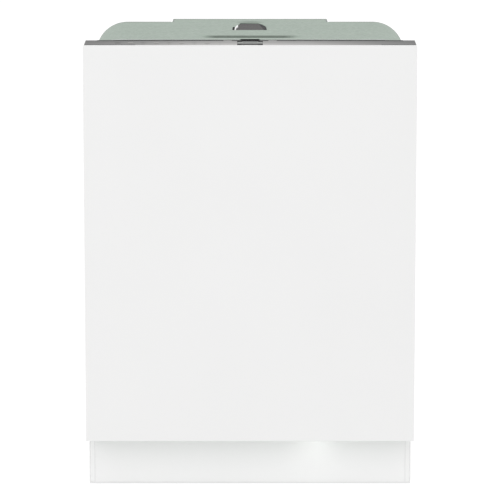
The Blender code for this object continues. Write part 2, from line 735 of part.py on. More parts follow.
def dispenser():
    """Detergent and rinse-aid dispenser in the inner door, with its sliding lid and turning cap."""
    body = box("dispenser_body", (-0.0400, 0.1000), (0.0450, 0.0775), (0.3800, 0.4800), GREY_PLASTIC)
    join(body, box("dispenser_rim", (-0.0500, 0.1500), (0.0755, 0.0790), (0.3720, 0.4880)))
    cut(
        body,
        box("detergent_cup", (0.0020, 0.0680), (0.0520, 0.0950), (0.3970, 0.4630)),
        cylinder("rinse_port", (-0.020, 0.056, 0.430), (-0.020, 0.095, 0.430), 0.0110, sides=16),
    )
    lid = box("dispenser_lid", (-0.0030, 0.0730), (0.0794, 0.0822), (0.3920, 0.4680), GREY_PLASTIC, 0.0008)
    join(lid, box("lid_grip", (0.0580, 0.0620), (0.0815, 0.0850), (0.4150, 0.4450)))
    cap = cylinder("rinse_aid_cap", (-0.020, 0.0794, 0.430), (-0.020, 0.0836, 0.430), 0.0160, BLUE_PLASTIC, 20)
    join(
        cap,
        cylinder("rinse_stem", (-0.020, 0.062, 0.430), (-0.020, 0.080, 0.430), 0.0095, sides=16),
        box("rinse_grip", (-0.0325, -0.0075), (0.0830, 0.0870), (0.4280, 0.4320)),
    )


# Hinges and door balance


def hinge_side(side, hand):
    """Bracket on the base, arm on the door, and the pull rod and spring that balance the door."""

    def span(a, b):
        return sorted((side * a, side * b))

    def line(a, b, depth, z):
        low, high = span(a, b)
        return (low, depth, z), (high, depth, z)

    lever_depth, lever_z = HINGE_DEPTH + LEVER, HINGE_Z + LEVER

    bracket = box(f"hinge_bracket_{hand}", span(0.2880, 0.2910), (0.040, 0.160), (0.0880, 0.1160), GALVANISED)
    ear = box(f"spring_ear_{hand}", span(0.2800, 0.2965), (0.1130, 0.1175), (0.1120, 0.1480), GALVANISED)
    pin = cylinder(f"hinge_pin_{hand}", *line(0.2822, 0.2890, HINGE_DEPTH, HINGE_Z), 0.0040, GALVANISED, 16)
    join(bracket, ear, pin)
    ear_hole = ((side * ROD_X, 0.105, ROD_Z), (side * ROD_X, 0.125, ROD_Z))
    cut(bracket, cylinder(f"ear_hole_{hand}", *ear_hole, 0.0042, sides=12))

    plate = [(0.030, 0.098), (0.060, 0.098), (0.060, 0.110), (0.0845, 0.1300), (0.0780, 0.1375), (0.060, 0.126)]
    plate += [(0.056, 0.300), (0.034, 0.300)]
    arm = prism(f"hinge_arm_{hand}", plate, "x", *span(0.2832, 0.2868), GALVANISED)
    lever_pin = cylinder(f"lever_pin_{hand}", *line(0.2860, 0.2915, lever_depth, lever_z), 0.0030, GALVANISED, 12)
    join(arm, lever_pin)
    cut(arm, cylinder(f"pivot_hole_{hand}", *line(0.2800, 0.2900, HINGE_DEPTH, HINGE_Z), 0.0047, sides=16))

    yoke = box(f"pull_rod_{hand}", span(0.2880, 0.2912), (0.0660, 0.0900), (0.1255, 0.1530), GALVANISED)
    slot = box(f"yoke_slot_{hand}", span(0.2870, 0.2925), (0.0728, 0.0832), (0.1272, 0.1495))
    rod = cylinder(f"rod_{hand}", (side * ROD_X, 0.0870, ROD_Z), (side * ROD_X, 0.300, ROD_Z), ROD_RADIUS, GALVANISED, 10)
    flange = ((side * ROD_X, SPRING_BACK + 0.0020, ROD_Z), (side * ROD_X, SPRING_BACK + 0.0050, ROD_Z))
    cut(yoke, slot)
    join(yoke, rod, cylinder(f"rod_flange_{hand}", *flange, 0.0075, GALVANISED, 12))

    turns, per_turn, coil = 8, 8, 0.0058
    points = []
    for i in range(turns * per_turn + 1):
        angle = 2 * math.pi * i / per_turn
        depth = SPRING_FRONT + 0.0015 + (SPRING_BACK - SPRING_FRONT - 0.002) * i / (turns * per_turn)
        points.append((side * ROD_X + coil * math.cos(angle), depth, ROD_Z + coil * math.sin(angle)))
    tube(f"door_spring_{hand}", points, 0.0011, STAINLESS, 0)


outer_shell()
insulation()
base_tray()
feet()
plinth()
tub()
tub_floor()
door_seal()
sump()
filters()
softener()
machinery()
riser()
spray_arms()
racks()
folding_parts()
door_panels()
console()
latch()
dispenser()
hinge_side(-1, "left")
hinge_side(1, "right")
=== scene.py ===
"""Looks of the built-in dishwasher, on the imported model's frame. Metres, +Z up, the front faces -Y.

The shapes are written in millimetres: x, the depth behind the furniture panel's face, and z."""

import json
import math

import bmesh
import bpy
from mathutils import Matrix, Vector


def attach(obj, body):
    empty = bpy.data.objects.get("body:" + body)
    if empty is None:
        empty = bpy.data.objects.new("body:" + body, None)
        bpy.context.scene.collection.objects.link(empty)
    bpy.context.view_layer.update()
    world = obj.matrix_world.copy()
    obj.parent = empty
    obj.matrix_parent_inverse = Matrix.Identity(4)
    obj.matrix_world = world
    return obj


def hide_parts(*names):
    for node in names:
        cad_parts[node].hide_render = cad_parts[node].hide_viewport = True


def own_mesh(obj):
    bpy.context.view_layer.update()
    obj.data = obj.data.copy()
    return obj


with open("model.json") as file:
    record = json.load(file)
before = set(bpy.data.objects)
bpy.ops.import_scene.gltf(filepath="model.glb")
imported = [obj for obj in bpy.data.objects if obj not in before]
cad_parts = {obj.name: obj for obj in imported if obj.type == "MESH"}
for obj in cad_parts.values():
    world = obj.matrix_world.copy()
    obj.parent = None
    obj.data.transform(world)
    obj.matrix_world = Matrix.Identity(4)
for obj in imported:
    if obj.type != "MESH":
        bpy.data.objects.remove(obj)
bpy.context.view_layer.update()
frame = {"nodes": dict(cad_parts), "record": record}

MM = 0.001
FRONT = -0.2845  # the furniture panel's face, in metres
PANEL_HALF, PANEL_LOW, PANEL_TOP, PANEL_DEPTH = 298.5, 95, 815, 19
TUB_BACK = 546.8
SUMP = (0, 319)  # the x and depth of the sump and of both spray arms
CUP = (46, 300)  # the filter cup's
SALT = (-165, 240)  # the salt cap's
RINSE = (-20, 430)  # the x and z of the rinse-aid cap
SIDES = (-1, 1)
HANDS = ((-1, "left"), (1, "right"))

# Material slots
WHITE, ZINC, STEEL, BLACK = "white_laminate", "galvanised_steel", "stainless_steel", "black_plastic"
GREY, RUBBER, FELT, WIRE = "grey_plastic", "seal_rubber", "insulation_felt", "coated_wire"


def at(depth):
    """The Y in metres of a place this many millimetres behind the furniture panel's face."""
    return FRONT + depth * MM


def point_at(x, depth, z):
    """A place given in millimetres, in metres."""
    return Vector((x * MM, at(depth), z * MM))


# Materials


def grey(level):
    return level, level, level


class Look:
    """A Principled material whose colour, roughness and bump come from textures in the object's own space."""

    def __init__(self, name, colour, roughness, metallic=0.0, stretch=(1, 1, 1)):
        self.material = bpy.data.materials.new(name)
        self.material.use_nodes = True
        self.tree = self.material.node_tree
        self.shader = self.tree.nodes["Principled BSDF"]
        self.set("Metallic", metallic)
        self.colour, self.roughness = colour, roughness
        place = self.node("ShaderNodeTexCoord")
        mapping = self.node("ShaderNodeMapping")
        mapping.inputs["Scale"].default_value = stretch
        self.plain = place.outputs["Object"]
        self.link(self.plain, mapping.inputs["Vector"])
        self.place = mapping.outputs["Vector"]
        self.normal = None

    def set(self, socket, value):
        self.shader.inputs[socket].default_value = value

    def node(self, kind, **inputs):
        made = self.tree.nodes.new(kind)
        for key, value in inputs.items():
            made.inputs[key].default_value = value
        return made

    def link(self, source, target):
        self.tree.links.new(source, target)

    def noise(self, scale, detail=4.0, roughness=0.55, plain=False):
        made = self.node("ShaderNodeTexNoise", Scale=scale, Detail=detail, Roughness=roughness)
        self.link(self.plain if plain else self.place, made.inputs["Vector"])
        return made.outputs["Fac"]

    def cells(self, scale, randomness=1.0):
        made = self.node("ShaderNodeTexVoronoi", Scale=scale, Randomness=randomness)
        self.link(self.place, made.inputs["Vector"])
        return made

    def ramp(self, factor, stops):
        made = self.node("ShaderNodeValToRGB")
        ramp = made.color_ramp
        while len(ramp.elements) < len(stops):
            ramp.elements.new(0.5)
        for element, (position, colour) in zip(ramp.elements, stops):
            element.position = position
            element.color = (*colour, 1.0)
        self.link(factor, made.inputs["Fac"])
        return made.outputs["Color"]

    def mottle(self, factor, spread, tint=(1, 1, 1)):
        """The base colour, a little darker or lighter as a texture goes."""
        low = tuple(c * (1 - spread) for c in self.colour)
        high = tuple(min(1.0, c * (1 + spread) * t) for c, t in zip(self.colour, tint))
        colour = self.ramp(factor, [(0.3, low), (0.7, high)])
        self.link(colour, self.shader.inputs["Base Color"])
        return colour

    def shine(self, factor, spread):
        """The roughness, between two limits as a texture goes."""
        made = self.node("ShaderNodeMapRange")
        made.inputs["To Min"].default_value = max(0.03, self.roughness - spread)
        made.inputs["To Max"].default_value = min(1.0, self.roughness + spread)
        self.link(factor, made.inputs["Value"])
        self.link(made.outputs["Result"], self.shader.inputs["Roughness"])

    def coordinates(self):
        split = self.node("ShaderNodeSeparateXYZ")
        self.link(self.plain, split.inputs["Vector"])
        return split.outputs["X"], split.outputs["Y"], split.outputs["Z"]

    def math(self, operation, first, second=None):
        made = self.node("ShaderNodeMath")
        made.operation = operation
        for socket, value in zip(made.inputs, (first, second)):
            if isinstance(value, (int, float)):
                socket.default_value = value
            elif value is not None:
                self.link(value, socket)
        return made.outputs["Value"]

    def fade(self, value, centre, inner, outer):
        """1 within inner of the centre, falling smoothly to 0 at outer, both in millimetres."""
        away = self.math("ABSOLUTE", self.math("SUBTRACT", value, centre))
        made = self.node("ShaderNodeMapRange")
        made.interpolation_type = "SMOOTHSTEP"
        for key, level in (("From Min", inner * MM), ("From Max", outer * MM), ("To Min", 1.0), ("To Max", 0.0)):
            made.inputs[key].default_value = level
        self.link(away, made.inputs["Value"])
        return made.outputs["Result"]

    def tint(self, base, factor, *stops):
        """The colour times a ramp of greys or colours, each stop a position and a level or colour."""
        stops = [(position, grey(tone) if isinstance(tone, float) else tone) for position, tone in stops]
        return self.multiply(base, self.ramp(factor, stops))

    def multiply(self, first, second):
        mix = self.node("ShaderNodeMix")
        mix.data_type = "RGBA"
        mix.blend_type = "MULTIPLY"
        mix.inputs["Factor"].default_value = 1.0
        self.link(first, mix.inputs[6])
        self.link(second, mix.inputs[7])
        return mix.outputs[2]

    def relief(self, factor, height):
        made = self.node("ShaderNodeBump", Strength=1.0, Distance=height)
        self.link(factor, made.inputs["Height"])
        if self.normal:
            self.link(self.normal, made.inputs["Normal"])
        self.normal = made.outputs["Normal"]
        self.link(self.normal, self.shader.inputs["Normal"])


def plastic(name, colour, roughness, spread=0.06, grain=0.00004, coat=0.0):
    look = Look(name, colour, roughness)
    look.mottle(look.noise(14.0), spread)
    look.shine(look.noise(60.0), 0.06)
    look.relief(look.noise(1500.0, 2.0), grain)
    look.set("Coat Weight", coat)
    return look


def white_laminate(name="white_laminate", tone=0.84):
    look = Look(name, (tone, tone, tone - 0.002), 0.42)
    look.mottle(look.noise(5.0), 0.006)
    look.shine(look.noise(40.0), 0.05)
    look.relief(look.noise(900.0, 3.0), 0.00003)
    look.relief(look.noise(60.0, 2.0), 0.00004)
    look.set("Coat Weight", 0.08)
    return look


def galvanised(name="galvanised_steel", colour=(0.37, 0.448, 0.385)):
    look = Look(name, colour, 0.46, 0.75)
    spangle = look.cells(210.0)
    tone = look.node("ShaderNodeSeparateColor")
    look.link(spangle.outputs["Color"], tone.inputs["Color"])
    look.mottle(tone.outputs["Red"], 0.045, (1.0, 1.01, 1.0))
    look.shine(tone.outputs["Green"], 0.07)
    look.relief(look.noise(25.0, 3.0), 0.0004)
    look.relief(look.noise(1200.0, 2.0), 0.00002)
    return look


def shell_galvanised():
    """Galvanised sheet with faint rolling marks across, with painted shade down in the pressed groove and a painted
    shadow behind the cut-out, both less metallic.
    """
    look = galvanised("galvanised_sheet")
    x, y, _ = look.coordinates()
    marks = look.node("ShaderNodeMapping")
    marks.inputs["Scale"].default_value = (1.2, 70.0, 1.0)
    look.link(look.plain, marks.inputs["Vector"])
    rolling = look.node("ShaderNodeTexNoise", Scale=1.0, Detail=2.0)
    look.link(marks.outputs["Vector"], rolling.inputs["Vector"])
    base = look.shader.inputs["Base Color"].links[0].from_socket
    base = look.tint(base, rolling.outputs["Fac"], (0.35, 0.95), (0.65, 1.0))
    painted_shade = 0.0
    for centre, full, reach, half, soft, shade_tone in (
        # Painted shadow: a soft darker band on the sheet just behind the cut-out.
        (at(488), 14, 30, 6, 26, (0.56, 0.58, 0.56)),
        # Painted shade down in the pressed groove.
        (at(148), 18, 36, 60, 34, (0.28, 0.29, 0.28)),
    ):
        across = look.fade(y, centre, full, reach)
        along = look.fade(x, 0.0, half, half + soft)
        shade_mask = look.math("MULTIPLY", across, along)
        base = look.tint(base, shade_mask, (0.0, 1.0), (1.0, shade_tone))
        painted_shade = look.math("ADD", painted_shade, shade_mask)
    look.link(base, look.shader.inputs["Base Color"])
    # Less metal where shade is painted, so the painted shade stays dark at grazing angles.
    faded = look.math("MULTIPLY", look.math("SUBTRACT", 1.0, painted_shade), 0.75)
    look.link(faded, look.shader.inputs["Metallic"])
    look.set("Specular IOR Level", 0.12)
    return look


def stainless():
    look = Look("stainless_steel", (0.6, 0.6, 0.585), 0.28, 1.0, (1.0, 1.0, 60.0))
    brushed = look.noise(40.0, 6.0, 0.7)
    look.mottle(brushed, 0.05)
    look.shine(brushed, 0.07)
    look.relief(look.noise(18.0, 3.0, plain=True), 0.0003)
    look.relief(brushed, 0.00002)
    return look


def silver_console():
    """Brushed film with a painted reflection, brighter towards the middle of the strip and darker at its ends, with
    faint bands along it.
    """
    look = Look("silver_console", (0.34, 0.33, 0.32), 0.38, 0.35, (3.0, 160.0, 160.0))
    x, y, _ = look.coordinates()
    # Painted reflection: lighter in the middle of the strip, falling to dark at its ends.
    spread = look.math("DIVIDE", look.math("ABSOLUTE", x), 0.2975)
    stops = [(0.0, (0.446, 0.437, 0.43)), (0.35, (0.366, 0.358, 0.352))]
    base = look.ramp(spread, stops + [(0.8, (0.138, 0.136, 0.134)), (1.0, (0.08, 0.078, 0.077))])
    streaks = look.noise(30.0, 5.0, 0.7)
    base = look.tint(base, streaks, (0.3, 0.92), (0.7, 1.0))
    bands = ((28, 3.5, 7, 1.15), (42, 4, 8, 0.94), (64, 11, 15, 0.72))
    for depth, full, half, tone in bands:
        base = look.tint(base, look.fade(y, at(depth), full, half), (0.0, 1.0), (1.0, tone))
    look.link(base, look.shader.inputs["Base Color"])
    look.shine(streaks, 0.08)
    look.relief(streaks, 0.00002)
    return look


def rubber():
    look = Look("seal_rubber", (0.045, 0.045, 0.047), 0.72)
    look.mottle(look.noise(30.0), 0.15)
    look.shine(look.noise(120.0), 0.1)
    look.relief(look.noise(700.0, 3.0), 0.0001)
    return look


def sieve():
    """Steel sheet pierced with a fine regular pattern of holes."""
    look = Look("pierced_steel", (0.55, 0.55, 0.54), 0.34, 0.9)
    holes = look.cells(420.0, 0.0)
    tone = look.ramp(holes.outputs["Distance"], [(0.26, grey(0.03)), (0.34, look.colour)])
    look.link(look.tint(tone, look.noise(30.0), (0.3, 0.9), (0.7, 1.0)), look.shader.inputs["Base Color"])
    look.shine(look.noise(80.0), 0.08)
    look.relief(holes.outputs["Distance"], 0.0003)
    return look


def felt():
    look = Look("insulation_felt", (0.066, 0.064, 0.062), 0.95)
    fibres = look.noise(420.0, 8.0, 0.75)
    look.mottle(fibres, 0.22)
    look.relief(look.noise(60.0, 5.0), 0.0006)
    look.relief(fibres, 0.0004)
    look.set("Specular IOR Level", 0.1)
    return look


def lens():
    look = Look("clear_lens", (0.92, 0.94, 0.96), 0.12)
    look.mottle(look.noise(50.0), 0.02)
    look.shine(look.noise(80.0), 0.05)
    look.relief(look.noise(600.0), 0.00003)
    look.set("Transmission Weight", 0.6)
    look.set("Emission Color", (1.0, 1.0, 0.97, 1.0))
    look.set("Emission Strength", 2.6)
    return look


LOOKS = {
    "white_laminate": white_laminate(),
    "galvanised_steel": galvanised(),
    "stainless_steel": stainless(),
    "silver_console": silver_console(),
    "black_plastic": plastic("black_plastic", (0.028, 0.028, 0.03), 0.42, 0.2),
    "grey_plastic": plastic("grey_plastic", (0.24, 0.25, 0.27), 0.46, 0.08),
    "white_plastic": plastic("white_plastic", (0.72, 0.72, 0.69), 0.42),
    "blue_plastic": plastic("blue_plastic", (0.08, 0.2, 0.46), 0.38),
    "seal_rubber": rubber(),
    "insulation_felt": felt(),
    "coated_wire": plastic("coated_wire", (0.46, 0.48, 0.51), 0.33, 0.05, 0.00003, 0.4),
    "clear_lens": lens(),
}
SHEET_LOOK = shell_galvanised()
# A lighter copy of the laminate: painted light against the shade under the door, on the plinth and the panel's top
# edge band.
PLINTH_LIT_WHITE = white_laminate("plinth_laminate_lit", 0.9)
SIEVE = sieve()
# Near-black and barely shiny: painted shade standing in for the dark inside of gaps, jets and holes.
HOLE_SHADE = plastic("hole_shade", grey(0.008), 0.8, 0.3)
HOLE_SHADE.set("Specular IOR Level", 0.1)
MARK = plastic("console_marks", (0.33, 0.32, 0.31), 0.4, 0.1)
# Near-white: a painted glint, standing for the white glint at the cut-out's left edge.
GLINT_WHITE = plastic("painted_glint", grey(0.97), 0.35, 0.02)
# A darker copy of the galvanised steel: painted shade along the tab's folds and the sheet's rear hem.
SHADED_ZINC = galvanised("shaded_zinc", (0.27, 0.3, 0.275))
# A much lighter copy of the galvanised steel: a painted highlight along the sheet's front hem.
HEM_HIGHLIGHT_ZINC = plastic("hem_highlight_zinc", (0.8, 0.85, 0.81), 0.5, 0.03)
SATIN_BLACK = plastic("satin_black", (0.01, 0.01, 0.011), 0.55, 0.2)
SATIN_BLACK.set("Specular IOR Level", 0.12)
SEAL_GREY = plastic("strip_seal", (0.045, 0.047, 0.046), 0.6, 0.2)
LOCK_GREY = plastic("lock_grey", (0.262, 0.269, 0.263), 0.5, 0.1)
TRIM_WHITE = white_laminate("plinth_trim", 0.82)


# Shapes

CREASE = math.radians(35)  # edges sharper than this stay sharp


def in_scene(obj):
    bpy.context.scene.collection.objects.link(obj)
    return obj


def mesh_of(bm, name):
    mesh = bpy.data.meshes.new(name)
    bm.to_mesh(mesh)
    bm.free()
    return mesh


def new_piece(name, mesh, body, look, replaces=()):
    """An object from a mesh, with its look, smooth but for sharp edges, that moves with a body."""
    obj = in_scene(bpy.data.objects.new(name, mesh))
    if isinstance(look, tuple):
        slot, look = look
    elif isinstance(look, str):
        look = LOOKS[look]
    mesh.materials.append(look.material)
    mesh.shade_smooth()
    mesh.set_sharp_from_angle(angle=CREASE)
    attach(obj, body)
    if replaces:
        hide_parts(*replaces)
    return obj


def from_bmesh(name, bm, body, look, replaces=()):
    bmesh.ops.recalc_face_normals(bm, faces=bm.faces)
    return new_piece(name, mesh_of(bm, name), body, look, replaces)


def rounding(obj, width, segments=3, angle=30):
    modifier = obj.modifiers.new("Edges", "BEVEL")
    modifier.width = width * MM
    modifier.segments = segments
    modifier.limit_method = "ANGLE"
    modifier.angle_limit = math.radians(angle)
    modifier.harden_normals = True
    return obj


def thicken(obj, thickness, offset=0.0):
    modifier = obj.modifiers.new("Thickness", "SOLIDIFY")
    modifier.thickness = thickness * MM
    modifier.offset = offset
    modifier.use_even_offset = True
    return obj


def cube_into(bm, x, depth, z):
    middle = point_at(*(sum(span) / 2 for span in (x, depth, z)))
    size = Matrix.Diagonal((*((high - low) * MM for low, high in (x, depth, z)), 1.0))
    bmesh.ops.create_cube(bm, size=1.0, matrix=Matrix.Translation(middle) @ size)


def blocks(name, spans, body, look, edge=1, replaces=(), segments=3):
    """Blocks, each between two values of x, depth and z, as one piece with rounded edges."""
    bm = bmesh.new()
    for x, depth, z in spans:
        cube_into(bm, x, depth, z)
    obj = from_bmesh(name, bm, body, look, replaces)
    return rounding(obj, edge, segments)


def rounded(points, radius, steps=5):
    """The outline again, with each corner turned into an arc."""
    out = []
    for i, corner in enumerate(points):
        here = Vector(corner)
        before = (Vector(points[i - 1]) - here).normalized()
        after = (Vector(points[(i + 1) % len(points)]) - here).normalized()
        half = before.angle(after) / 2
        centre = here + (before + after).normalized() * radius / math.sin(half)
        reach = radius / math.tan(half)
        first, last = here + before * reach - centre, here + after * reach - centre
        for k in range(steps + 1):
            out.append(tuple(centre + radius * first.slerp(last, k / steps)))
    return out


PLACES = {
    "x": lambda a, b, t: point_at(t, a, b),
    "depth": lambda a, b, t: point_at(a, t, b),
    "z": lambda a, b, t: point_at(a, b, t),
}


def prism_into(bm, outline, along, low, high):
    place = PLACES[along]
    face = bm.faces.new([bm.verts.new(place(a, b, low)) for a, b in outline])
    made = bmesh.ops.extrude_face_region(bm, geom=[face])["geom"]
    far = [v for v in made if isinstance(v, bmesh.types.BMVert)]
    bmesh.ops.translate(bm, vec=place(0, 0, high) - place(0, 0, low), verts=far)


def prism(name, outline, along, low, high, body, look, edge=0.8, replaces=()):
    """A flat outline made thick, with rounded edges. Its coordinates are in x, depth, z order."""
    bm = bmesh.new()
    prism_into(bm, outline, along, low, high)
    obj = from_bmesh(name, bm, body, look, replaces)
    return rounding(obj, edge, 3) if edge else obj


def bend(points, radius, steps=5):
    """A run of points with its inner corners turned into arcs."""
    pts = [Vector(p) for p in points]
    out = [pts[0]]
    for before, here, after in zip(pts, pts[1:], pts[2:]):
        a, b = before - here, after - here
        half = a.angle(b) / 2
        if half > math.pi / 2 - 0.02:
            out.append(here)
            continue
        reach = min(radius / math.tan(half), a.length * 0.49, b.length * 0.49)
        start, end = here + a.normalized() * reach, here + b.normalized() * reach
        for k in range(steps + 1):
            t = k / steps
            out.append(start * (1 - t) ** 2 + here * 2 * t * (1 - t) + end * t**2)
    out.append(pts[-1])
    return out


def bars(name, runs, radius, body, look, replaces=(), closed=False, corner=12, sides=2):
    """Round wires along runs of (x, depth, z) points, with bent corners, as one piece."""
    curve = bpy.data.curves.new(name, "CURVE")
    curve.dimensions = "3D"
    curve.bevel_depth = radius * MM
    curve.bevel_resolution = sides
    curve.use_fill_caps = True
    for run in runs:
        points = run if closed else bend(run, corner)
        spline = curve.splines.new("POLY")
        spline.use_cyclic_u = closed
        spline.points.add(len(points) - 1)
        for point, (x, depth, z) in zip(spline.points, points):
            point.co = (x * MM, at(depth), z * MM, 1.0)
    wire = in_scene(bpy.data.objects.new(name + "_line", curve))
    bpy.context.view_layer.update()
    mesh = bpy.data.meshes.new_from_object(wire.evaluated_get(bpy.context.evaluated_depsgraph_get()))
    mesh.materials.clear()
    bpy.data.objects.remove(wire)
    return new_piece(name, mesh, body, look, replaces)


def turn_into(bm, steps, profile, origin, axis=(0, 0, 1)):
    """A lathed solid in bm: (radius, height) points turned about an axis through origin, an (x, depth, z) place."""
    spin = Vector(axis).to_track_quat("Z", "Y").to_matrix()
    base = point_at(*origin)
    rings = []
    for radius, height in profile:
        if radius < 1e-6:
            rings.append([bm.verts.new(base + spin @ Vector((0, 0, height * MM)))])
            continue
        ring = circle(0, 0, radius * MM, steps)
        rings.append([bm.verts.new(base + spin @ Vector((*spot, height * MM))) for spot in ring])
    for one, two in zip(rings, rings[1:]):
        for k in range(steps if len(one) + len(two) > 2 else 0):
            n = (k + 1) % steps
            if len(one) == 1:
                bm.faces.new((one[0], two[k], two[n]))
            elif len(two) == 1:
                bm.faces.new((one[k], one[n], two[0]))
            else:
                bm.faces.new((one[k], one[n], two[n], two[k]))


def turned(name, profiles, body, look, replaces=(), steps=32):
    """Lathed solids, each a profile and an origin and, if it isn't upright, an axis, as one piece."""
    bm = bmesh.new()
    for solid in profiles:
        turn_into(bm, steps, *solid)
    bmesh.ops.remove_doubles(bm, verts=bm.verts, dist=0.000001)
    return from_bmesh(name, bm, body, look, replaces)


def disc(radius, low, high, soft=0.8):
    """The profile of a round solid with eased rims."""
    rim = [(radius - soft, low), (radius, low + soft), (radius, high - soft), (radius - soft, high)]
    return [(0, low), *rim, (0, high)]


def grid(name, us, vs, surface, body, look, replaces=(), keep=lambda u, v: True):
    """An open surface: surface(u, v) gives (x, depth, z) at every pair of values."""
    bm = bmesh.new()
    rows = []
    for v in vs:
        rows.append([bm.verts.new(point_at(*surface(u, v))) for u in us])
    for j in range(len(vs) - 1):
        for i in range(len(us) - 1):
            if keep((us[i] + us[i + 1]) / 2, (vs[j] + vs[j + 1]) / 2):
                bm.faces.new((rows[j][i], rows[j][i + 1], rows[j + 1][i + 1], rows[j + 1][i]))
    bmesh.ops.delete(bm, geom=[v for v in bm.verts if not v.link_faces], context="VERTS")
    return from_bmesh(name, bm, body, look, replaces)


def steps_between(low, high, count):
    return [low + (high - low) * k / count for k in range(count + 1)]


def smooth(value):
    value = min(1.0, max(0.0, value))
    return value * value * (3 - 2 * value)


def cut(obj, *tools):
    """Takes tools away from a mesh piece, and removes the tools."""
    bpy.context.view_layer.update()
    for tool in tools:
        modifier = obj.modifiers.new("Cut", "BOOLEAN")
        modifier.object = tool
        modifier.solver = "EXACT"
    graph = bpy.context.evaluated_depsgraph_get()
    mesh = bpy.data.meshes.new_from_object(obj.evaluated_get(graph))
    obj.modifiers.clear()
    obj.data = mesh
    mesh.shade_smooth()
    mesh.set_sharp_from_angle(angle=CREASE)
    for tool in tools:
        bpy.data.objects.remove(tool)
    return obj


def cutter(outline, along, low, high):
    bm = bmesh.new()
    prism_into(bm, outline, along, low, high)
    bmesh.ops.recalc_face_normals(bm, faces=bm.faces)
    return in_scene(bpy.data.objects.new("cutter", mesh_of(bm, "cutter")))


def rectangle(a, b):
    return [(a[0], b[0]), (a[1], b[0]), (a[1], b[1]), (a[0], b[1])]


def circle(a, b, radius, count):
    angles = [2 * math.pi * k / count for k in range(count)]
    return [(a + radius * math.cos(angle), b + radius * math.sin(angle)) for angle in angles]


def around(middle, half):
    return middle - half, middle + half


def flank(side, near, far):
    """Two distances from the middle as a span of x on one side."""
    return sorted((side * near, side * far))


def skin(bm, lines):
    """Faces between each line of vertices and the next."""
    for one, two in zip(lines, lines[1:]):
        for k in range(len(one) - 1):
            bm.faces.new((one[k], one[k + 1], two[k + 1], two[k]))


# Outer shell: galvanised sheet over the top and sides

SHELL_FRONT, SHELL_BACK, TAB_HALF = 88.2, 497, 151.5
SHELL_HALF, SHELL_TOP, CORNER = 299, 820, 60


def shell_line(u):
    """A point of the shell's section, where u runs from -1 at the left foot over the top to 1 at the right foot."""
    side, share = (-1 if u < 0 else 1), abs(u)
    flat = SHELL_HALF - CORNER
    if share <= 0.4:
        return side * flat * share / 0.4, SHELL_TOP
    if share <= 0.6:
        turn = (share - 0.4) / 0.2 * math.pi / 2
        return side * (flat + CORNER * math.sin(turn)), SHELL_TOP - CORNER * (1 - math.cos(turn))
    return side * SHELL_HALF, SHELL_TOP - CORNER - (share - 0.6) / 0.4 * (SHELL_TOP - CORNER - 78)


def groove(x, depth):
    """Depth of the long shallow groove pressed across the top."""
    along = 1 - smooth((abs(x) - 60) / 40)
    across = 1 - smooth(abs(depth - 151) / 29)
    return 6 * along * across


def shell_surface(u, depth):
    x, z = shell_line(u)
    if z > SHELL_TOP - 1e-6:
        z -= groove(x, depth)
        crown = 0.6 * (1 - (x / SHELL_HALF) ** 2)
        z -= 0.6 - crown
    elif abs(u) > 0.62:
        wall = smooth((abs(u) - 0.68) / 0.02) * (1 - smooth((abs(u) - 0.93) / 0.02))
        wall *= smooth((depth - 150) / 12) * (1 - smooth((depth - 440) / 12))
        x -= math.copysign(2.2 * wall, x)
    return x, depth, z


def shell_sheet():
    inner = 0.4 * TAB_HALF / (SHELL_HALF - CORNER)
    us = sorted({*steps_between(-inner, inner, 44), *[s * u for s in SIDES for u in steps_between(inner, 0.4, 6)]})
    arc = [s * u for s in SIDES for u in steps_between(0.4, 0.6, 14)]
    side = [s * u for s in SIDES for u in steps_between(0.6, 1.0, 60)]
    us = sorted({round(u, 7) for u in us + arc + side})
    runs = ((SHELL_FRONT, 115, 4), (115, 190, 30), (190, SHELL_BACK, 40))
    vs = sorted({v for run in runs for v in steps_between(*run)})
    vs += [530, 555, 568.5]
    limit = inner + 1e-6
    shell = grid(
        "shell_sheet",
        us,
        vs,
        shell_surface,
        "housing",
        (ZINC, SHEET_LOOK),
        ("outer_shell",),
        keep=lambda u, v: v < SHELL_BACK or abs(u) < limit,
    )
    thicken(shell, 1, -1.0 if shell.data.polygons[0].normal.x < 0 else 1.0)
    right = [(32, 297), (31.3, 345), (30, 385), (24, 430), (16.2, 461)]
    window = rounded([(-32, 297), *right, (-18.7, 465)], 3)
    notch = rectangle((-17.2, 17.2), (70, 95))
    cut(shell, cutter(window, "z", 805, 830), cutter(notch, "z", 805, 830))
    blocks("shell_tab_flange", [((-151.3, 151.3), (568, 568.9), (802, 819.5))], "housing", ZINC, 0.3)


def window_details():
    """The glint tongue, painted as a highlight, and the slit and right wall, painted as shade, in the sheet's
    cut-out.
    """
    glint = [(-29.2, 299), (-26.6, 299), (-26.4, 340), (-22.8, 368)]
    glint += [(-22.8, 405), (-25, 405), (-27.5, 368), (-28.6, 345)]
    slit_shade = [(-33.4, 300), (-29.4, 300), (-28.8, 364), (-32.8, 364)]
    shade = [(26.2, 312), (31.4, 312), (30.6, 355), (29, 390), (22.8, 434), (18, 450), (20.5, 405)]
    # A near-white piece raised on the sheet: the painted glint.
    prism("window_glint", glint, "z", 818.6, 820.7, "housing", (ZINC, GLINT_WHITE), 0.3)
    # A near-black piece on the sheet: the painted shade of the gap left of the glint.
    prism("window_slit_shade", slit_shade, "z", 819.2, 820.4, "housing", (ZINC, HOLE_SHADE), 0.2)
    # A black strip inside the cut-out's right edge: painted shade of the inner wall there.
    prism("window_shade", shade, "z", 818, 819.3, "housing", (FELT, SATIN_BLACK), 0.3)


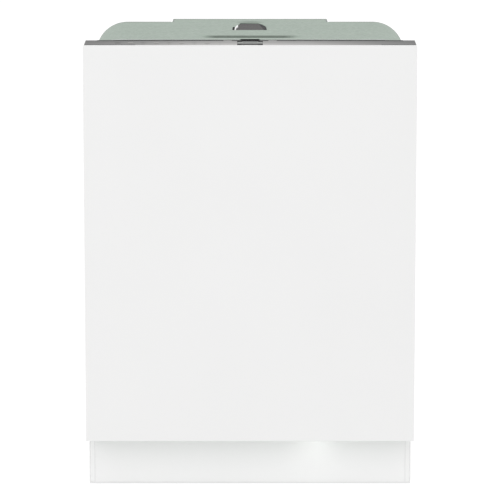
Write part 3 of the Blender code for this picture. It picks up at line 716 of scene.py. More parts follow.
def shell_edges():
    """Hems along the sheet's free edges, folds round its tab, and the screws in its sides."""
    edge_line = [shell_line(u) for u in steps_between(-0.62, 0.62, 120)]
    front, rear = [], []
    for s in SIDES:
        front.append([(x, SHELL_FRONT + 0.8, z - 0.7) for x, z in edge_line if s * x > 17.8])
        rear.append([(x, SHELL_BACK - 0.8, z - 0.8) for x, z in edge_line if s * x > TAB_HALF])
    # The front hem in the lighter zinc, a painted highlight.
    bars("shell_front_hem", front, 0.9, "housing", (ZINC, HEM_HIGHLIGHT_ZINC), corner=0.5)
    bars("shell_rear_hem", rear, 1.1, "housing", (ZINC, SHADED_ZINC), corner=0.5)
    folds = [(around(s * 150, 1.4), (506, 568.8), (819, 820.4)) for s in SIDES]
    folds.append(((-150, 150), (564, 568.7), (819, 820.3)))
    blocks("shell_tab_folds", folds, "housing", (ZINC, SHADED_ZINC), 0.4)
    for s, side_name in HANDS:
        edge = [(s * (SHELL_HALF - 1.2), SHELL_FRONT + 1.2, z) for z in (80, 756)]
        bars(f"shell_hem_{side_name}", [edge], 1.1, "housing", ZINC)
        screws = []
        for depth, z in ((100, 720), (100, 420), (100, 150), (486, 640), (486, 150)):
            screws.append((disc(4.2, -0.4, 1.1, 0.6), (s * SHELL_HALF, depth, z), (s, 0, 0)))
        turned(f"shell_screws_{side_name}", screws, "housing", STEEL, steps=16)


# Door front


def furniture_front():
    board = [((-PANEL_HALF, PANEL_HALF), (0.0, PANEL_DEPTH), (PANEL_LOW, PANEL_TOP))]
    blocks("front_board", board, "door", WHITE, 0.6, ("furniture_panel",))
    band = [((-298.1, 298.1), (0.6, 18.6), (814, 815.3))]
    # The panel's top edge band in the lighter laminate, painted light.
    blocks("front_edge_band", band, "door", (WHITE, PLINTH_LIT_WHITE), 0.3)
    plinth = [((-296, 296), (62, 78), (1, 84))]
    plinth.append(((-295.5, 295.5), (62.5, 77.5), (83.8, 85)))
    blocks("plinth_front", plinth, "housing", (WHITE, PLINTH_LIT_WHITE), 0.8, ("plinth_board",))


def plinth_trim():
    """Thin strips along the plinth's foot and its two ends."""
    spans = [((-295.5, 295.5), (61.2, 62.4), (1.2, 4.2))]
    for s in SIDES:
        for x in (294.6, 286.2):
            spans.append((around(s * x, 0.6), (61.4, 62.4), (5, 83)))
    blocks("plinth_edging", spans, "housing", (WHITE, TRIM_WHITE), 0.3, segments=2)


CONSOLE_FRONT, CONSOLE_BACK, CONSOLE_RISE = 20.3, 84, 3.5
BUTTON_DEPTH, BUTTON_GAP, LAMP_DEPTH = 52, 0.3, 33.5


def console_height(depth):
    return PANEL_TOP + (depth - CONSOLE_FRONT) / (CONSOLE_BACK - CONSOLE_FRONT) * CONSOLE_RISE


MARKS = [-238, -215, -192, -169, -146, -123, -100, -77, -54]
BUTTONS = [("power_button", 0, 6.5), ("program_button", 2, 4.8)]
BUTTONS += [("option_button", 4, 4.8), ("start_button", 6, 4.8)]


def console():
    outer = [(CONSOLE_FRONT, 745.5), (CONSOLE_FRONT, PANEL_TOP), (CONSOLE_BACK, 818.5), (CONSOLE_BACK, 790.5)]
    outer += [(58.5, 790.5), (58.5, 745.5)]
    inner = [(22.5, 743), (22.5, 812.2), (81.8, 815.6), (81.8, 792.7), (56.3, 792.7), (56.3, 743)]
    body = prism("console_strip", outer, "x", -297.5, 298.2, "door", "silver_console", 0.0, ("console",))
    notch = rectangle((-23.1, 23.1), (38.8, 95))
    tools = [cutter(inner, "x", -295.3, 295.3), cutter(notch, "z", 785, 830)]
    for _, mark, radius in BUTTONS:
        tools.append(cutter(circle(MARKS[mark], BUTTON_DEPTH, radius + BUTTON_GAP, 28), "z", 805, 830))
    cut(body, *tools)
    rounding(body, 0.6, 2, 50)
    top = console_height(BUTTON_DEPTH)
    tilt = (0, -(console_height(CONSOLE_BACK) - console_height(CONSOLE_FRONT)) / (CONSOLE_BACK - CONSOLE_FRONT), 1)
    for name, mark, r in BUTTONS:
        profile = [(0, -7), (r, -7), (r, 0.0), (r - 0.4, 0.3), (r - 1.6, 0.4), (r - 3, 0.1), (0, 0.0)]
        cap = (profile, (MARKS[mark], BUTTON_DEPTH, top), tilt)
        turned(f"{name}_cap", [cap], name, (BLACK, LOOKS["silver_console"]), (name,), 28)
    lights = [(around(x, 5), (45.5, 58.5), (top - 3, top + 0.2)) for x in MARKS[1::2]]
    blocks("console_displays", lights, "door", MARK, 0.2)
    dots = [(disc(1.1, -1, 0.4, 0.2), (x, LAMP_DEPTH, console_height(LAMP_DEPTH))) for x in MARKS]
    turned("console_lamps", dots, "door", MARK, steps=12)
    rear = [(75.2, 817.6), (85.8, 817.6), (86.2, 818.3), (85.8, 818.7), (75.2, 818.3)]
    soft_strips("console_rear_seal", rear, (-277, -48), (-33.2, -16.8), (16.8, 33.2), (48, 277))
    front = [(20.6, 812), (25, 812), (25, 815.7), (20.6, 815.4)]
    soft_strips("console_front_seal", front, (-297.4, -205), (236, 297.4))


def soft_strips(name, section, *spans):
    """Soft strips along the console, of one section in depth and z, each between two values of x."""
    bm = bmesh.new()
    for x in spans:
        prism_into(bm, section, "x", *x)
    rounding(from_bmesh(name, bm, "door", SEAL_GREY), 0.2, 2)


def latch():
    case = [((-22.8, 22.8), (33, 83.6), (792.5, 817.4))]
    case = blocks("lock_case", case, "door", (GREY, LOCK_GREY), 0.8, ("latch_housing",))
    cut(case, cutter(rectangle((-6.4, 6.4), (799, 814)), "depth", 55, 95))
    foot = [((-23, 23), (25.6, 32), (814.5, 816))]
    for ends in (((24, 32.2), (814.5, 816.2)), ((64, 83.8), (816, 818.3))):
        foot += [(around(s * 18.8, 4), *ends) for s in SIDES]
    foot.append(((-15, 15), (70.5, 83.8), (816, 818)))
    blocks("lock_case_foot", foot, "door", SATIN_BLACK, 0.4)
    ribs = [((-13, 13), (d, d + 1.8), (817, 818)) for d in (50, 57, 64, 71)]
    blocks("lock_case_ribs", ribs, "door", LOCK_GREY, 0.3)
    shape = [(58, 803.5), (93.5, 803.5), (93.5, 799.5), (97, 799.5), (97, 808), (58, 808)]
    prism("hook_plate", shape, "x", -5, 5, "latch_hook", STEEL, 0.5, ("latch_hook",))
    ends = (((86.6, 94.3), (788, 820.1)), ((93, 107), (788, 818.4)))
    block = [((-16.1, 16.1), *end) for end in ends]
    striker = blocks("striker_block", block, "housing", (BLACK, SATIN_BLACK), 0.8, ("latch_striker",))
    slots = [((798.8, 812), 80), ((792.5, 800), 92)]
    cut(striker, *[cutter(rectangle((-7.2, 7.2), z), "depth", depth, 102) for z, depth in slots])


def floor_light():
    beam = [((105, 135), (22, 32), (93, 95.6))]
    blocks("floor_beam", beam, "door", "clear_lens", 0.6, ("floor_beam_lens",))


def insulation():
    mat = [((-235, 235), (115, 500), (774.5, 790)), ((-48, 48), (285, 480), (788, 819))]
    blocks("felt_mat", mat, "housing", FELT, 4, ("top_insulation",), 4)
    pad = [((-262, 262), (549.2, 556), (165, 755))]
    blocks("felt_rear", pad, "housing", FELT, 3, ("rear_insulation",))


# Tub


def arch(half, bottom, top, radius, steps=12):
    """(x, z) points up the left side, over rounded corners and down the right side."""
    left = [(-half, z) for z in steps_between(bottom, top - radius, 8)]
    for k in range(1, steps + 1):
        turn = math.pi / 2 * k / steps
        left.append((-half + radius * (1 - math.cos(turn)), top - radius * (1 - math.sin(turn))))
    left += [(x, top) for x in steps_between(-half + radius, 0.0, 6)[1:-1]]
    return left + [(0.0, top)] + [(-x, z) for x, z in reversed(left)]


def tub_liner():
    """Pressed steel tub with a flange at the front, soft corners at the back and shallow ribs in its walls."""
    rows = []
    for out, depth in ((13.2, 90.5), (6, 90), (2.2, 90.3), (0.6, 91.2), (0.0, 93)):
        rows.append((out, depth, 0.0))
    for depth in steps_between(100, 528, 40):
        rib = max(1 - smooth(abs(depth - c) / 7) for c in (150, 240, 398, 488))
        rows.append((0.0, depth, rib))
    for k in range(1, 9):
        turn = math.pi / 2 * k / 8
        rows.append((-18 * (1 - math.cos(turn)), 529.7 + 18 * math.sin(turn), 0.0))
    bm = bmesh.new()
    lines = []
    for out, depth, rib in rows:
        line = []
        for x, z in arch(273.5 + out, 150, 772.5 + out, 45 + out):
            if rib and 220 < z < 700 and not 455 < z < 515:
                x += math.copysign(1.6 * rib, x)
            line.append(bm.verts.new(point_at(x, depth, z)))
        lines.append(line)
    skin(bm, lines)
    bm.faces.new(lines[-1])
    liner = from_bmesh("tub_liner", bm, "housing", STEEL, ("tub_shell",))
    thicken(liner, 0.9)
    panels = [(around(s * 150, 80), (TUB_BACK, 547.6), z) for s in SIDES for z in ((200, 400), (440, 700))]
    blocks("tub_back_panels", panels, "housing", STEEL, 0.7)


def tub_pan():
    """Floor of the tub with a ledge each side, soft rays round the sump and an upstand at the back."""
    section = [(-272, 158), (-272, 139.5), (-232, 139.5), (-225.5, 125.5)]
    section += [(-x, z) for x, z in reversed(section)]
    line = bend([(x, 0.0, z) for x, z in section], 4, 4)
    fine = []
    for a, b in zip(line, line[1:]):
        count = max(1, round((b - a).length / 12))
        fine += [a + (b - a) * k / count for k in range(count)]
    fine.append(line[-1])
    bm = bmesh.new()
    lines = []
    for depth in [90.5, 90, 90.6, 92.5, *steps_between(98, 546.2, 44)]:
        line = []
        for p in fine:
            z = p.z
            if abs(p.x) < 200 and depth > 98:
                away = math.hypot(p.x, depth - SUMP[1])
                z -= 0.6 * (1 - smooth((away - 90) / 80))
                ray = max(0.0, math.cos(8 * math.atan2(depth - SUMP[1], p.x + 1e-9)))
                z += 0.5 * ray * smooth((away - 130) / 30)
            if depth < 90.2:
                z = min(z, 124)
            elif depth < 92.6:
                z -= 0.6
            line.append(bm.verts.new(point_at(p.x, depth, z)))
        lines.append(line)
    lines[0] = [bm.verts.new((v.co.x, v.co.y, 114.2 * MM)) for v in lines[1]]
    lines.append([bm.verts.new((v.co.x, at(TUB_BACK), max(v.co.z, 156 * MM))) for v in lines[-1]])
    skin(bm, lines)
    floor = from_bmesh("tub_pan", bm, "housing", STEEL, ("tub_floor",))
    thicken(floor, 0.9)
    cut(floor, *[cutter(hole, "z", 110, 135) for hole in (circle(*SUMP, 88, 48), circle(*SALT, 34, 32))])


def seal():
    bulb = [(x, 82.6, z) for x, z in arch(280, 152, 779, 51.5, 16)]
    bars("seal_bulb", [bulb], 6.4, "housing", RUBBER, ("door_seal",), corner=0.5, sides=4)
    lip = [(x, 81.5, z) for x, z in arch(275.5, 153, 774.5, 47.5, 16)]
    bars("seal_lip", [lip], 1.6, "housing", RUBBER, corner=0.5)


def spray_way():
    """Duct up the back wall, ceiling nozzle and the upper arm's port."""
    duct = [((-13, 13), (531, 546.3), (127.5, 766)), ((-12, 12), (319, 540), (754, 766))]
    duct += [((-14.5, 14.5), (530.5, 546.5), (z, z + 6)) for z in (200, 330, 560, 690)]
    blocks("riser_duct", duct, "housing", GREY, 3.2, ("spray_riser",), 4)
    nozzle = [(0, 0.0), (10, 0.0), (12, 2), (23.5, 2.2), (28.5, 8), (31.5, 14), (31, 17), (0, 17)]
    turned("ceiling_rose", [(nozzle, (*SUMP, 743))], "housing", GREY, steps=36)
    jet = disc(1.6, -0.8, 0.6, 0.3)
    jets = [(jet, (*spot, 744.9), (0, 0, -1)) for spot in circle(*SUMP, 17.5, 10)]
    turned("ceiling_jets", jets, "housing", HOLE_SHADE, steps=10)
    port = [(0, 0), (6.5, 0), (6.5, 10), (9, 11), (9, 13.5), (0, 13.5)]
    turned("dock_ring", [(port, (0, 520.8, 424), (0, 1, 0))], "housing", RUBBER, steps=20)


def sump_and_filters():
    bowl = [(0, 61), (70.5, 61), (73, 62.5), (88, 116.5), (95.5, 121.5), (96, 124.5)]
    bowl += [(93.5, 124.2), (85, 118), (70.5, 65.5), (69, 64), (0, 64)]
    post = [(0, 63), (13.2, 63), (13, 140), (12, 147.8), (10.8, 148.5), (6, 148.6), (6, 159), (5.2, 160), (0, 160)]
    place = (*SUMP, 0)
    turned("sump_bowl", [(bowl, place), (post, place)], "housing", BLACK, ("sump",), 48)
    plate = [(disc(115, 126.8, 128.8, 0.7), place)]
    plate = turned("fine_sieve", plate, "housing", (STEEL, SIEVE), ("filter_plate",), 56)
    cut(plate, *[cutter(hole, "z", 120, 140) for hole in (circle(*SUMP, 15.2, 24), circle(*CUP, 26.6, 32))])
    ring = [(108.5, 128.6), (109.2, 129.6), (113.8, 129.6), (114.8, 128.6)]
    turned("sieve_frame", [(ring + [ring[0]], place)], "housing", GREY, steps=56)
    cup = [(0, 74), (16.5, 74), (18, 75.5), (23.8, 129), (31, 129.4), (31, 132.6)]
    cup += [(30, 133.6), (26.5, 133.6), (25, 132.2), (24, 132.2), (0, 132.2)]
    turned("cup_body", [(cup, (*CUP, 0))], "filter_cup", GREY, ("filter_cup",), 40)
    grip = [((24, 68), (296.8, 303.2), (131.5, 140))]
    grip += [(x, (290, 310), (131.5, 135.2)) for x in ((30, 36), (56, 62))]
    blocks("cup_grip", grip, "filter_cup", GREY, 1.4)


def salt_lid():
    cap = [(0, 126.8), (39.2, 126.8), (40, 127.6), (37.5, 133.6), (36.5, 134.4), (31, 134.4), (29.5, 133), (0, 133)]
    thread = [(25.2, 112.5), (28, 112.5), (28, 127), (25.2, 127), (25.2, 112.5)]
    spot = (*SALT, 0)
    turned("salt_lid", [(cap, spot), (thread, spot)], "salt_cap", GREY, ("salt_cap",), 40)
    ribs = [((-191.5, -138.5), (236.4, 243.6), (132.8, 140))]
    blocks("salt_grip", ribs, "salt_cap", GREY, 1.4)
    teeth = [(disc(1.2, 127.6, 132.2, 0.4), (*spot, 0)) for spot in circle(*SALT, 38, 28)]
    turned("salt_knurl", teeth, "salt_cap", GREY, steps=8)


def spray_arm(name, body, reach, low, high, jets):
    """Two-ended arm with a crowned top, jets along it and a round hub."""
    side = [(20, -15), (reach * 0.55, -15), (reach * 0.9, -11.8), (reach - 4, -10.5), (reach, -6)]
    side += [(reach, 6), (reach - 4, 10.5), (reach * 0.75, 17.2), (reach * 0.5, 21.5), (20, 15)]
    outline = side + [(-a, -b) for a, b in side]
    bm = bmesh.new()
    prism_into(bm, [(a, SUMP[1] + b) for a, b in outline], "z", low + 1.2, high - 3.4)
    arm = from_bmesh(f"{name}_blade", bm, body, GREY, (body,))
    rounding(arm, 3.2, 4, 20)
    spine = []
    for s, ends in ((-1, (reach * 0.86, 30)), (1, (30, reach * 0.86))):
        spine.append([(s * r, SUMP[1] + s * 2, high - 3.6) for r in ends])
    bars(f"{name}_spine", spine, 2.2, body, GREY, corner=1)
    hub = [(0, low), (23.5, low), (25.8, low + 2), (25.8, high - 4), (24, high - 1.2)]
    hub += [(20.5, high - 0.6), (18.5, high - 1.6), (16.5, high - 1.6), (15, high), (0, high)]
    turned(f"{name}_hub", [(hub, (*SUMP, 0))], body, GREY, steps=40)
    eyes, slots = [], []
    lip = [(1.7, -1), (3.4, -1), (3.2, 0.7), (2.4, 1.1), (1.7, 0.7), (1.7, -1)]
    for i in range(jets):
        r = 45 + (reach - 58) * i / (jets - 1)
        for s in SIDES:
            spot = (s * r, SUMP[1] + s * (8.5 if i % 2 else -5.5), high - 3.4)
            eyes.append((lip, spot))
            slots.append((disc(1.7, -1.2, 0.4, 0.2), spot))
    turned(f"{name}_eyes", eyes, body, GREY, steps=14)
    turned(f"{name}_jets", slots, body, HOLE_SHADE, steps=10)


def spray_arms():
    spray_arm("lower_arm", "lower_spray_arm", 205, 149.2, 167, 7)
    spray_arm("upper_arm", "upper_spray_arm", 198, 402, 417.5, 6)
    pipe = [((-11.8, 11.8), (304, 520), (419.2, 429)), ((-8.5, 8.5), (330, 505), (428.5, 430))]
    blocks("feed_pipe", pipe, "upper_rack", GREY, 3, ("feed_tube",), 4)
    ends = [(disc(11.8, 418.8, 429.6, 1.5), (*SUMP, 0)), (disc(5.8, 409.2, 422, 0.6), (*SUMP, 0))]
    turned("feed_end", ends, "upper_rack", GREY, steps=28)


# Racks


RACK_HALF = 243


def ring(half, depth, z, radius=24):
    return [(x, d, z) for x, d in rounded(rectangle((-half, half), depth), radius, 8)]


def wires(name, body, depth, bottom, top, counts, rims):
    """A basket of round wires: rims round it, and U-shaped wires across and along it."""
    across, along = counts
    half, inset, tips = RACK_HALF, 3.8, top - 1
    low, high = depth
    bars(f"{name}_rims", [ring(half, depth, z) for z in rims], 2.7, body, WIRE, (body,), closed=True)
    runs = []
    for d in steps_between(low + 28, high - 28, across):
        x = half - inset
        runs.append([(-x, d, tips), (-x, d, bottom), (x, d, bottom), (x, d, tips)])
    for x in steps_between(-half + 30, half - 30, along):
        near, far, z = low + inset, high - inset, bottom + 2.6
        runs.append([(x, near, tips), (x, near, z), (x, far, z), (x, far, tips)])
    bars(f"{name}_wires", runs, 1.5, body, WIRE, corner=16)


def rack_handle(name, body, z, half=75):
    parts = [((-half, half), (98.5, 106.5), (z - 9.5, z + 4.5))]
    parts += [(around(x, 6), (98.5, 107.5), (z - 11.5, z + 5.5)) for x in (-half, half)]
    blocks(name, parts, body, GREY, 2.8, segments=4)
    places = steps_between(-half + 12, half - 12, 24)
    grips = [(around(x, 1.1), (97.9, 99), (z - 7, z + 2)) for x in places]
    blocks(name + "_ribs", grips, body, GREY, 0.4, segments=1)


def runners(name, body, rail, glint, edge):
    """The inner members of the rails on both sides of a rack."""
    spans = []
    for side in SIDES:
        spans.append((flank(side, 259.2, 267.8), (112, 519.5), rail))
        spans.append((flank(side, 244, 260), (118, 514), glint))
    blocks(name, spans, body, STEEL, edge)


def lower_rack():
    wires("lower_basket", "lower_rack", (102, 525), 175.2, 300, (15, 13), (298.5, 238))
    rack_handle("lower_handle", "lower_rack", 298.5)
    tines = []
    for d in (165, 255, 345, 435):
        tines.append([(20, d, 180.5), (226, d, 180.5)])
        for x in steps_between(30, 214, 7):
            tines.append([(x, d - 6, 181), (x, d, 244)])
    bars("fixed_tines", tines, 1.6, "lower_rack", WIRE, corner=4)


def rack_wheels():
    rims, hubs, struts = [], [], []
    wheel = [(0, 1.2), (5.5, 1.2), (6.5, 3), (13, 3), (14, 0.8), (16.5, 0.0)]
    wheel += [(17.8, 1.2), (18, 6), (17.8, 10.8), (16.5, 12), (0, 12)]
    for side in SIDES:
        for d in (190, 445):
            place = ((side * 258.5, d, 159.2), (-side, 0, 0))
            rims.append((wheel, *place))
            hubs.append((disc(4.2, -0.6, 14, 0.8), *place))
            x = flank(side, 240, 246.2)
            struts.append((x, around(d, 7), (152, 184)))
            struts.append((x, around(d, 13), (174, 183)))
    turned("rack_wheels", rims, "lower_rack", GREY, steps=36)
    turned("wheel_axles", hubs, "lower_rack", STEEL, steps=16)
    blocks("wheel_carriers", struts, "lower_rack", GREY, 1.6)


def folding_tines():
    for name, d in (("folding_tines_front", 255), ("folding_tines_rear", 345)):
        runs = [[(-222.8, d, 180.3), (7, d, 180.3)]]
        for k in range(9):
            x = -220 + 28 * k
            runs.append([(x, d, 180.3), (x, d, 249)])
        bars(f"{name}_wires", runs, 1.5, name, WIRE, (name,), corner=2)
        clips = [(around(x, 5), around(d, 3.2), (178.2, 183.2)) for x in (-206, -94, -10)]
        blocks(f"{name}_clips", clips, "lower_rack", GREY, 1.2)


def upper_rack():
    wires("upper_basket", "upper_rack", (104, 525), 433.2, 545, (15, 13), (543.5, 492))
    rack_handle("upper_handle", "upper_rack", 543.5)
    tines = []
    for x in (20, 100, 180):
        tines.append([(x, 135, 439.5), (x, 495, 439.5)])
        for d in steps_between(150, 480, 10):
            tines.append([(x + 4, d, 440), (x, d, 486)])
    bars("upper_tines", tines, 1.5, "upper_rack", WIRE, corner=4)
    runners("upper_runners", "upper_rack", (475.5, 496), (482.8, 489.2), 1.4)
    roller = disc(8.8, -1, 7, 0.8)
    depths = (125, 235, 395, 505)
    rollers = [(roller, (side * 260.5, d, 485.8), (side, 0, 0)) for side in SIDES for d in depths]
    turned("upper_rollers", rollers, "upper_rack", GREY, steps=24)


def cup_shelf():
    shelf = [(x - 198, d, z) for x, d, z in ring(37, (135, 495), 522, 10)]
    bars("cup_shelf_rim", [shelf], 1.9, "cup_shelf", WIRE, ("cup_shelf",), closed=True)
    rungs = [[(-235, d, 522), (-161, d, 522)] for d in steps_between(155, 475, 12)]
    rungs.append([(-198, 136, 522.2), (-198, 494, 522.2)])
    bars("cup_shelf_rungs", rungs, 1.4, "cup_shelf", WIRE)


def cutlery_tray():
    wires("tray_basket", "cutlery_tray", (104, 525), 699.5, 738, (30, 13), (736.5, 718))
    rack_handle("tray_handle", "cutlery_tray", 736.5, 60)
    combs, bases = [], []
    for row in (-155, 0.0, 155):
        for edge in (-62, 62):
            x = row + edge
            bases.append((around(x, 1.8), (122, 508), (703.5, 708)))
            for d in steps_between(128, 502, 34):
                combs.append((around(x, 1.1), around(d, 1.4), (707, 722.5)))
    blocks("cutlery_comb_bars", bases, "cutlery_tray", GREY, 0.8)
    blocks("cutlery_combs", combs, "cutlery_tray", GREY, 0.6, segments=1)
    runners("tray_runners", "cutlery_tray", (709.5, 722.5), (712.8, 719.2), 1.2)


# Inside of the door


def door_liner():
    """Pressed inner door with a raised track each side, shallow panels and soft edges."""

    def near(*places):
        return [p + s for p in places for s in (-3.5, -1.2, 0.0, 1.2, 3.5)]

    xs = near(-264, -241, 241, 264, -205, 205)
    xs += [s * v for s in SIDES for v in (280.4, 280, 279, 277, 274.5)] + steps_between(-200, 200, 20)
    xs += [-40.5, 100.5]
    zs = near(120, 540, 160, 345, 515, 745)
    zs += [97.6, 98, 99, 101, 103.5, 787.9, 787.5, 786.5, 784.5, 782] + steps_between(130, 770, 40)
    zs += [379.5, 480.5]

    def surface(x, z):
        edge = min(280.4 - abs(x), z - 97.6, 787.9 - z)
        depth = 74.8 - 13.5 * (1 - math.sqrt(max(0.0, 1 - (1 - min(1.0, edge / 5.9)) ** 2)))
        track = smooth((abs(x) - 237.5) / 4.7) * (1 - smooth((abs(x) - 262.8) / 4.7))
        track *= smooth((z - 116.5) / 4.7) * (1 - smooth((z - 538.8) / 4.7))
        depth += 10.9 * track
        for low, high in ((160, 345), (515, 745)):
            inside = smooth((208.5 - abs(x)) / 7) * smooth((z - low + 3.5) / 7)
            inside *= smooth((high + 3.5 - z) / 7)
            depth -= 2.2 * inside
        return x, depth, z

    liner = grid(
        "door_liner",
        *(sorted({round(value, 3) for value in values}) for values in (xs, zs)),
        surface,
        "door",
        STEEL,
        ("inner_door",),
        keep=lambda x, z: not (-40.5 < x < 100.5 and 379.5 < z < 480.5),
    )
    thicken(liner, 0.8, -1.0 if liner.data.polygons[0].normal.y > 0 else 1.0)
    walls = [(around(s * 280.3, 0.4), (60.6, 69), (98.5, 787)) for s in SIDES]
    walls += [((-279.5, 279.5), (60.6, 69), around(z, 0.4)) for z in (98, 787.4)]
    blocks("liner_flange", walls, "door", STEEL, 0.3, segments=1)
    screw, rows = disc(5.2, -0.4, 1.6, 0.7), (140, 560, 760)
    screws = [(screw, (x, 74.8, z), (0, 1, 0)) for x in (-225, 225) for z in rows]
    turned("liner_screws", screws, "door", STEEL, steps=20)


def dispenser():
    case = [((-40, 100), (45, 77.2), (380, 480)), ((-50, 150), (75.5, 79), (372, 488))]
    body = blocks("dispenser_case", case, "door", GREY, 1.2, ("dispenser_body",))
    bowl = rounded(rectangle((2, 68), (397, 463)), 8, 4)
    port = circle(*RINSE, 11, 24)
    cut(body, cutter(bowl, "depth", 52, 95), cutter(port, "depth", 56, 95))
    frame_line = [(x, 79, z) for x, z in rounded(rectangle((-47.5, 147.5), (374.5, 485.5)), 6, 5)]
    bars("dispenser_bead", [frame_line], 0.9, "door", GREY, closed=True)
    rails = [((-4, 147), (78.8, 80), z) for z in ((388, 390.5), (469.5, 472))]
    blocks("lid_rails", rails, "door", GREY, 0.5)
    lid = [((-3, 73), (79.4, 82.2), (392, 468)), ((58, 62), (81.5, 85), (415, 445))]
    blocks("lid_plate", lid, "dispenser_lid", GREY, 0.9, ("dispenser_lid",))
    ridges = [((x, x + 1.4), (81.8, 82.9), (404, 456)) for x in steps_between(2, 46, 8)]
    blocks("lid_ridges", ridges, "dispenser_lid", GREY, 0.4)


def rinse_cap():
    cap = [(0, -18), (9.2, -18), (9.5, -0.4), (15.8, -0.4), (16, 0.0), (16, 3)]
    cap += [(15, 4), (12, 4), (11.2, 3.4), (0, 3.4)]
    cap = [(cap, (RINSE[0], 79.6, RINSE[1]), (0, 1, 0))]
    turned("rinse_lid", cap, "rinse_aid_cap", "blue_plastic", ("rinse_aid_cap",), 36)
    grip = [((-32.5, -7.5), (82.6, 86.9), (427.8, 432.2))]
    blocks("rinse_grip", grip, "rinse_aid_cap", "blue_plastic", 1.2)
    eye = [(0, 0), (5, 0), (5, 0.8), (4.2, 1.2), (0, 1)]
    turned("rinse_gauge", [(eye, (RINSE[0], 78.9, 398), (0, 1, 0))], "door", HOLE_SHADE, steps=24)


# Hinges, base and connections


def springs():
    for side, hand in HANDS:
        turns, per, x, z, radius, points = 26, 16, side * 289.5, 137, 5.8, []
        for k in range(turns * per + 1):
            angle = 2 * math.pi * k / per
            depth = 119.8 + (289.3 - 119.8) * k / (turns * per)
            points.append((x + radius * math.cos(angle), depth, z + radius * math.sin(angle)))
        node = f"door_spring_{hand}"
        coil = bars(f"spring_{hand}", [points], 1, "housing", STEEL, (node,), corner=0.1, sides=1)
        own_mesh(coil)


def base_ribs():
    """Ribs on the base tray's sides and back."""
    ribs = []
    for side in SIDES:
        for d in steps_between(100, 530, 18):
            ribs.append((flank(side, 285.5, 287.2), around(d, 1.5), (26, 74)))
        ribs += [(flank(side, 285.5, 287.6), (86, 545), z) for z in ((74, 77.5), (23.5, 26.5))]
    for x in steps_between(-272, 272, 24):
        if not any(abs(x - c) < 20 for c in (-212.5, 160, 228)):
            ribs.append((around(x, 1.5), (547.5, 549.5), (26, 104)))
    ribs.append(((-284, 284), (547.5, 550), (104.5, 108.5)))
    blocks("base_ribs", ribs, "housing", BLACK, 0.5, segments=1)


def feet():
    """Feet with a threaded stem and a hexagon to turn them by."""
    foot = [(0, 0.0), (18.5, 0.0), (20, 1.5), (19.6, 5), (16.5, 9.5), (11, 12), (8.5, 12.2), (6.2, 14)]
    for k in range(26):
        z = 15 + 2.8 * k
        foot += [(6, z), (5.3, z + 1.4)]
    foot += [(5.5, 89.6), (0, 90)]
    for name, x, d in (("front_foot_left", -245, 115), ("front_foot_right", 245, 115), ("rear_foot", 0.0, 505)):
        turned(f"{name}_screw", [(foot, (x, d, 0))], name, BLACK, (name,), 28)
        prism(f"{name}_hex", circle(x, d, 10.5, 6), "z", 11.5, 17.5, name, BLACK, 0.6)


def fittings():
    """Inlet valve, drain outlet and mains inlet at the back."""
    spout = [(0, 0.0), (13, 0.0)]
    for k in range(7):
        spout += [(13, 3.6 + 4.2 * k), (12, 5.7 + 4.2 * k)]
    spout += [(12.5, 34.5), (11.2, 35.8), (9.5, 35.8), (9, 25), (0, 25)]
    body = [((-235, -190), (495, 536), (45, 98)), ((-230.5, -194.5), (500, 530), (97.5, 101))]
    blocks("valve_body", body, "housing", "white_plastic", 3, ("inlet_valve",), 4)
    turned("valve_spout", [(spout, (-212.5, 530, 70), (0, 1, 0))], "housing", "white_plastic")
    barbed = [(0, 10), (8.5, 10), (8.5, 66), (10, 66), (10.8, 61), (10.1, 54.5)]
    barbed += [(10.9, 54), (10.2, 47.5), (11, 47), (10.4, 40.5), (11, 40), (11, 0.0), (0, 0.0)]
    turned("drain_spout", [(barbed, (160, 500, 80), (0, 1, 0))], "housing", BLACK, ("drain_outlet",))
    socket = [((213.3, 242.7), (520, 550.5), (55.3, 79.7))]
    socket = blocks("mains_socket", socket, "housing", BLACK, 1.2, ("power_inlet",))
    cut(socket, cutter(rounded(rectangle((216.5, 239.5), (58.5, 76.5)), 3, 4), "depth", 532, 560))
    pins = [(around(x, 1.1), (530, 544), (65, 70)) for x in (222, 228, 234)]
    blocks("mains_pins", pins, "housing", STEEL, 0.4)


def back():
    """The felt's retaining bands behind the tub and the studs that hold them."""
    levels = (235, 455, 675)
    straps = [((-261, 261), (555.8, 556.8), (z, z + 10)) for z in levels]
    blocks("felt_bands", straps, "housing", BLACK, 0.4, segments=1)
    stud, places = disc(6, 0.0, 2.2, 0.8), (-225, -75, 75, 225)
    studs = [(stud, (x, 556, z + 5), (0, 1, 0)) for x in places for z in levels]
    turned("felt_studs", studs, "housing", STEEL, steps=20)


def soften_cad():
    """Softer edges on the CAD nodes that stay."""
    widths = {
        "door_frame": 0.4,
        "hinge_bracket_": 0.5,
        "hinge_arm_": 0.5,
        "pull_rod_": 0.3,
        "softener": 0.4,
        "control_box": 1,
        "circulation_pump": 1.2,
        "drain_pump": 1,
        "water_chamber": 0.8,
        "base_tray": 0.5,
        "upper_rail_": 0.3,
        "tray_rail_": 0.3,
    }
    for name, width in widths.items():
        for hand in ("left", "right") if name.endswith("_") else ("",):
            rounding(frame["nodes"][name + hand], width, 2, 40)


# Stage

WORLD_STRENGTH, FLOOR_STRENGTH = 0.86, 0.93
CAMERA_LENS, CAMERA_DISTANCE, CAMERA_HEIGHT, CAMERA_DOWN = 208.4, 5.153, 1.257, 8.93


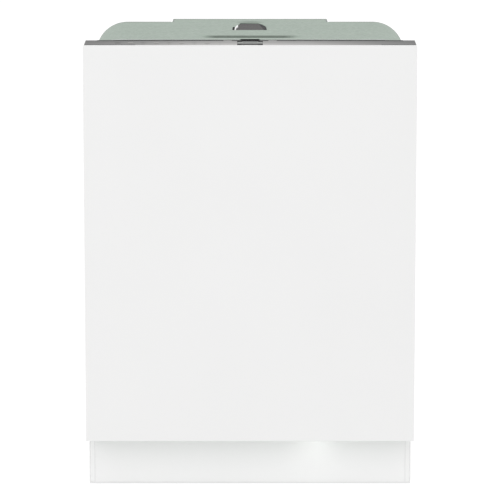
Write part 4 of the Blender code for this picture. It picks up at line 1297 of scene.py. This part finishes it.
def white_floor():
    bm = bmesh.new()
    bmesh.ops.create_grid(bm, x_segments=1, y_segments=1, size=30.0)
    mesh = mesh_of(bm, "floor")
    look = Look("pale_floor", grey(0.16), 0.9)
    look.mottle(look.noise(2.0), 0.01)
    look.set("Specular IOR Level", 0.0)
    look.set("Emission Color", (1.0, 1.0, 1.0, 1.0))
    look.set("Emission Strength", FLOOR_STRENGTH)
    mesh.materials.append(look.material)
    ground = in_scene(bpy.data.objects.new("floor", mesh))


def light():
    world = bpy.data.worlds.new("studio")
    bpy.context.scene.world = world
    world.use_nodes = True
    background = world.node_tree.nodes["Background"].inputs
    background["Color"].default_value = (1.0, 1.0, 1.0, 1.0)
    background["Strength"].default_value = WORLD_STRENGTH

    for name, place, size, power in (
        ("overhead", (0.0, -0.6, 3.4), 3.0, 14.0),
        ("key", (-2.2, -3.6, 2.6), 2.0, 12.0),
    ):
        lamp = bpy.data.lights.new(name, "AREA")
        lamp.size = size
        lamp.energy = power
        obj = in_scene(bpy.data.objects.new(name, lamp))
        obj.location = place
        obj.rotation_euler = (Vector((0, 0, 0.4)) - Vector(place)).to_track_quat("-Z", "Y").to_euler()


def camera():
    lens_data = bpy.data.cameras.new("camera")
    lens_data.lens, lens_data.sensor_width = CAMERA_LENS, 36.0
    lens_data.clip_end = 100.0
    view = in_scene(bpy.data.objects.new("camera", lens_data))
    view.location = (0.0, FRONT - CAMERA_DISTANCE, CAMERA_HEIGHT)
    view.rotation_euler = (math.radians(90 - CAMERA_DOWN), 0.0, 0.0)
    bpy.context.scene.camera = view
    bpy.context.scene.view_settings.view_transform = "Standard"


def paint_cad():
    """Better materials on the CAD nodes that stay, by the record's slots."""
    for row in frame["record"]["subparts"]:
        node = frame["nodes"][row["node"]]
        for slot in node.material_slots:
            slot.material = LOOKS[row["material_slot"]].material


paint_cad()
shell_sheet()
window_details()
shell_edges()
furniture_front()
plinth_trim()
console()
latch()
floor_light()
insulation()
tub_liner()
tub_pan()
seal()
spray_way()
sump_and_filters()
salt_lid()
spray_arms()
lower_rack()
rack_wheels()
folding_tines()
upper_rack()
cup_shelf()
cutlery_tray()
door_liner()
dispenser()
rinse_cap()
springs()
base_ribs()
feet()
fittings()
back()
soften_cad()
white_floor()
light()
camera()
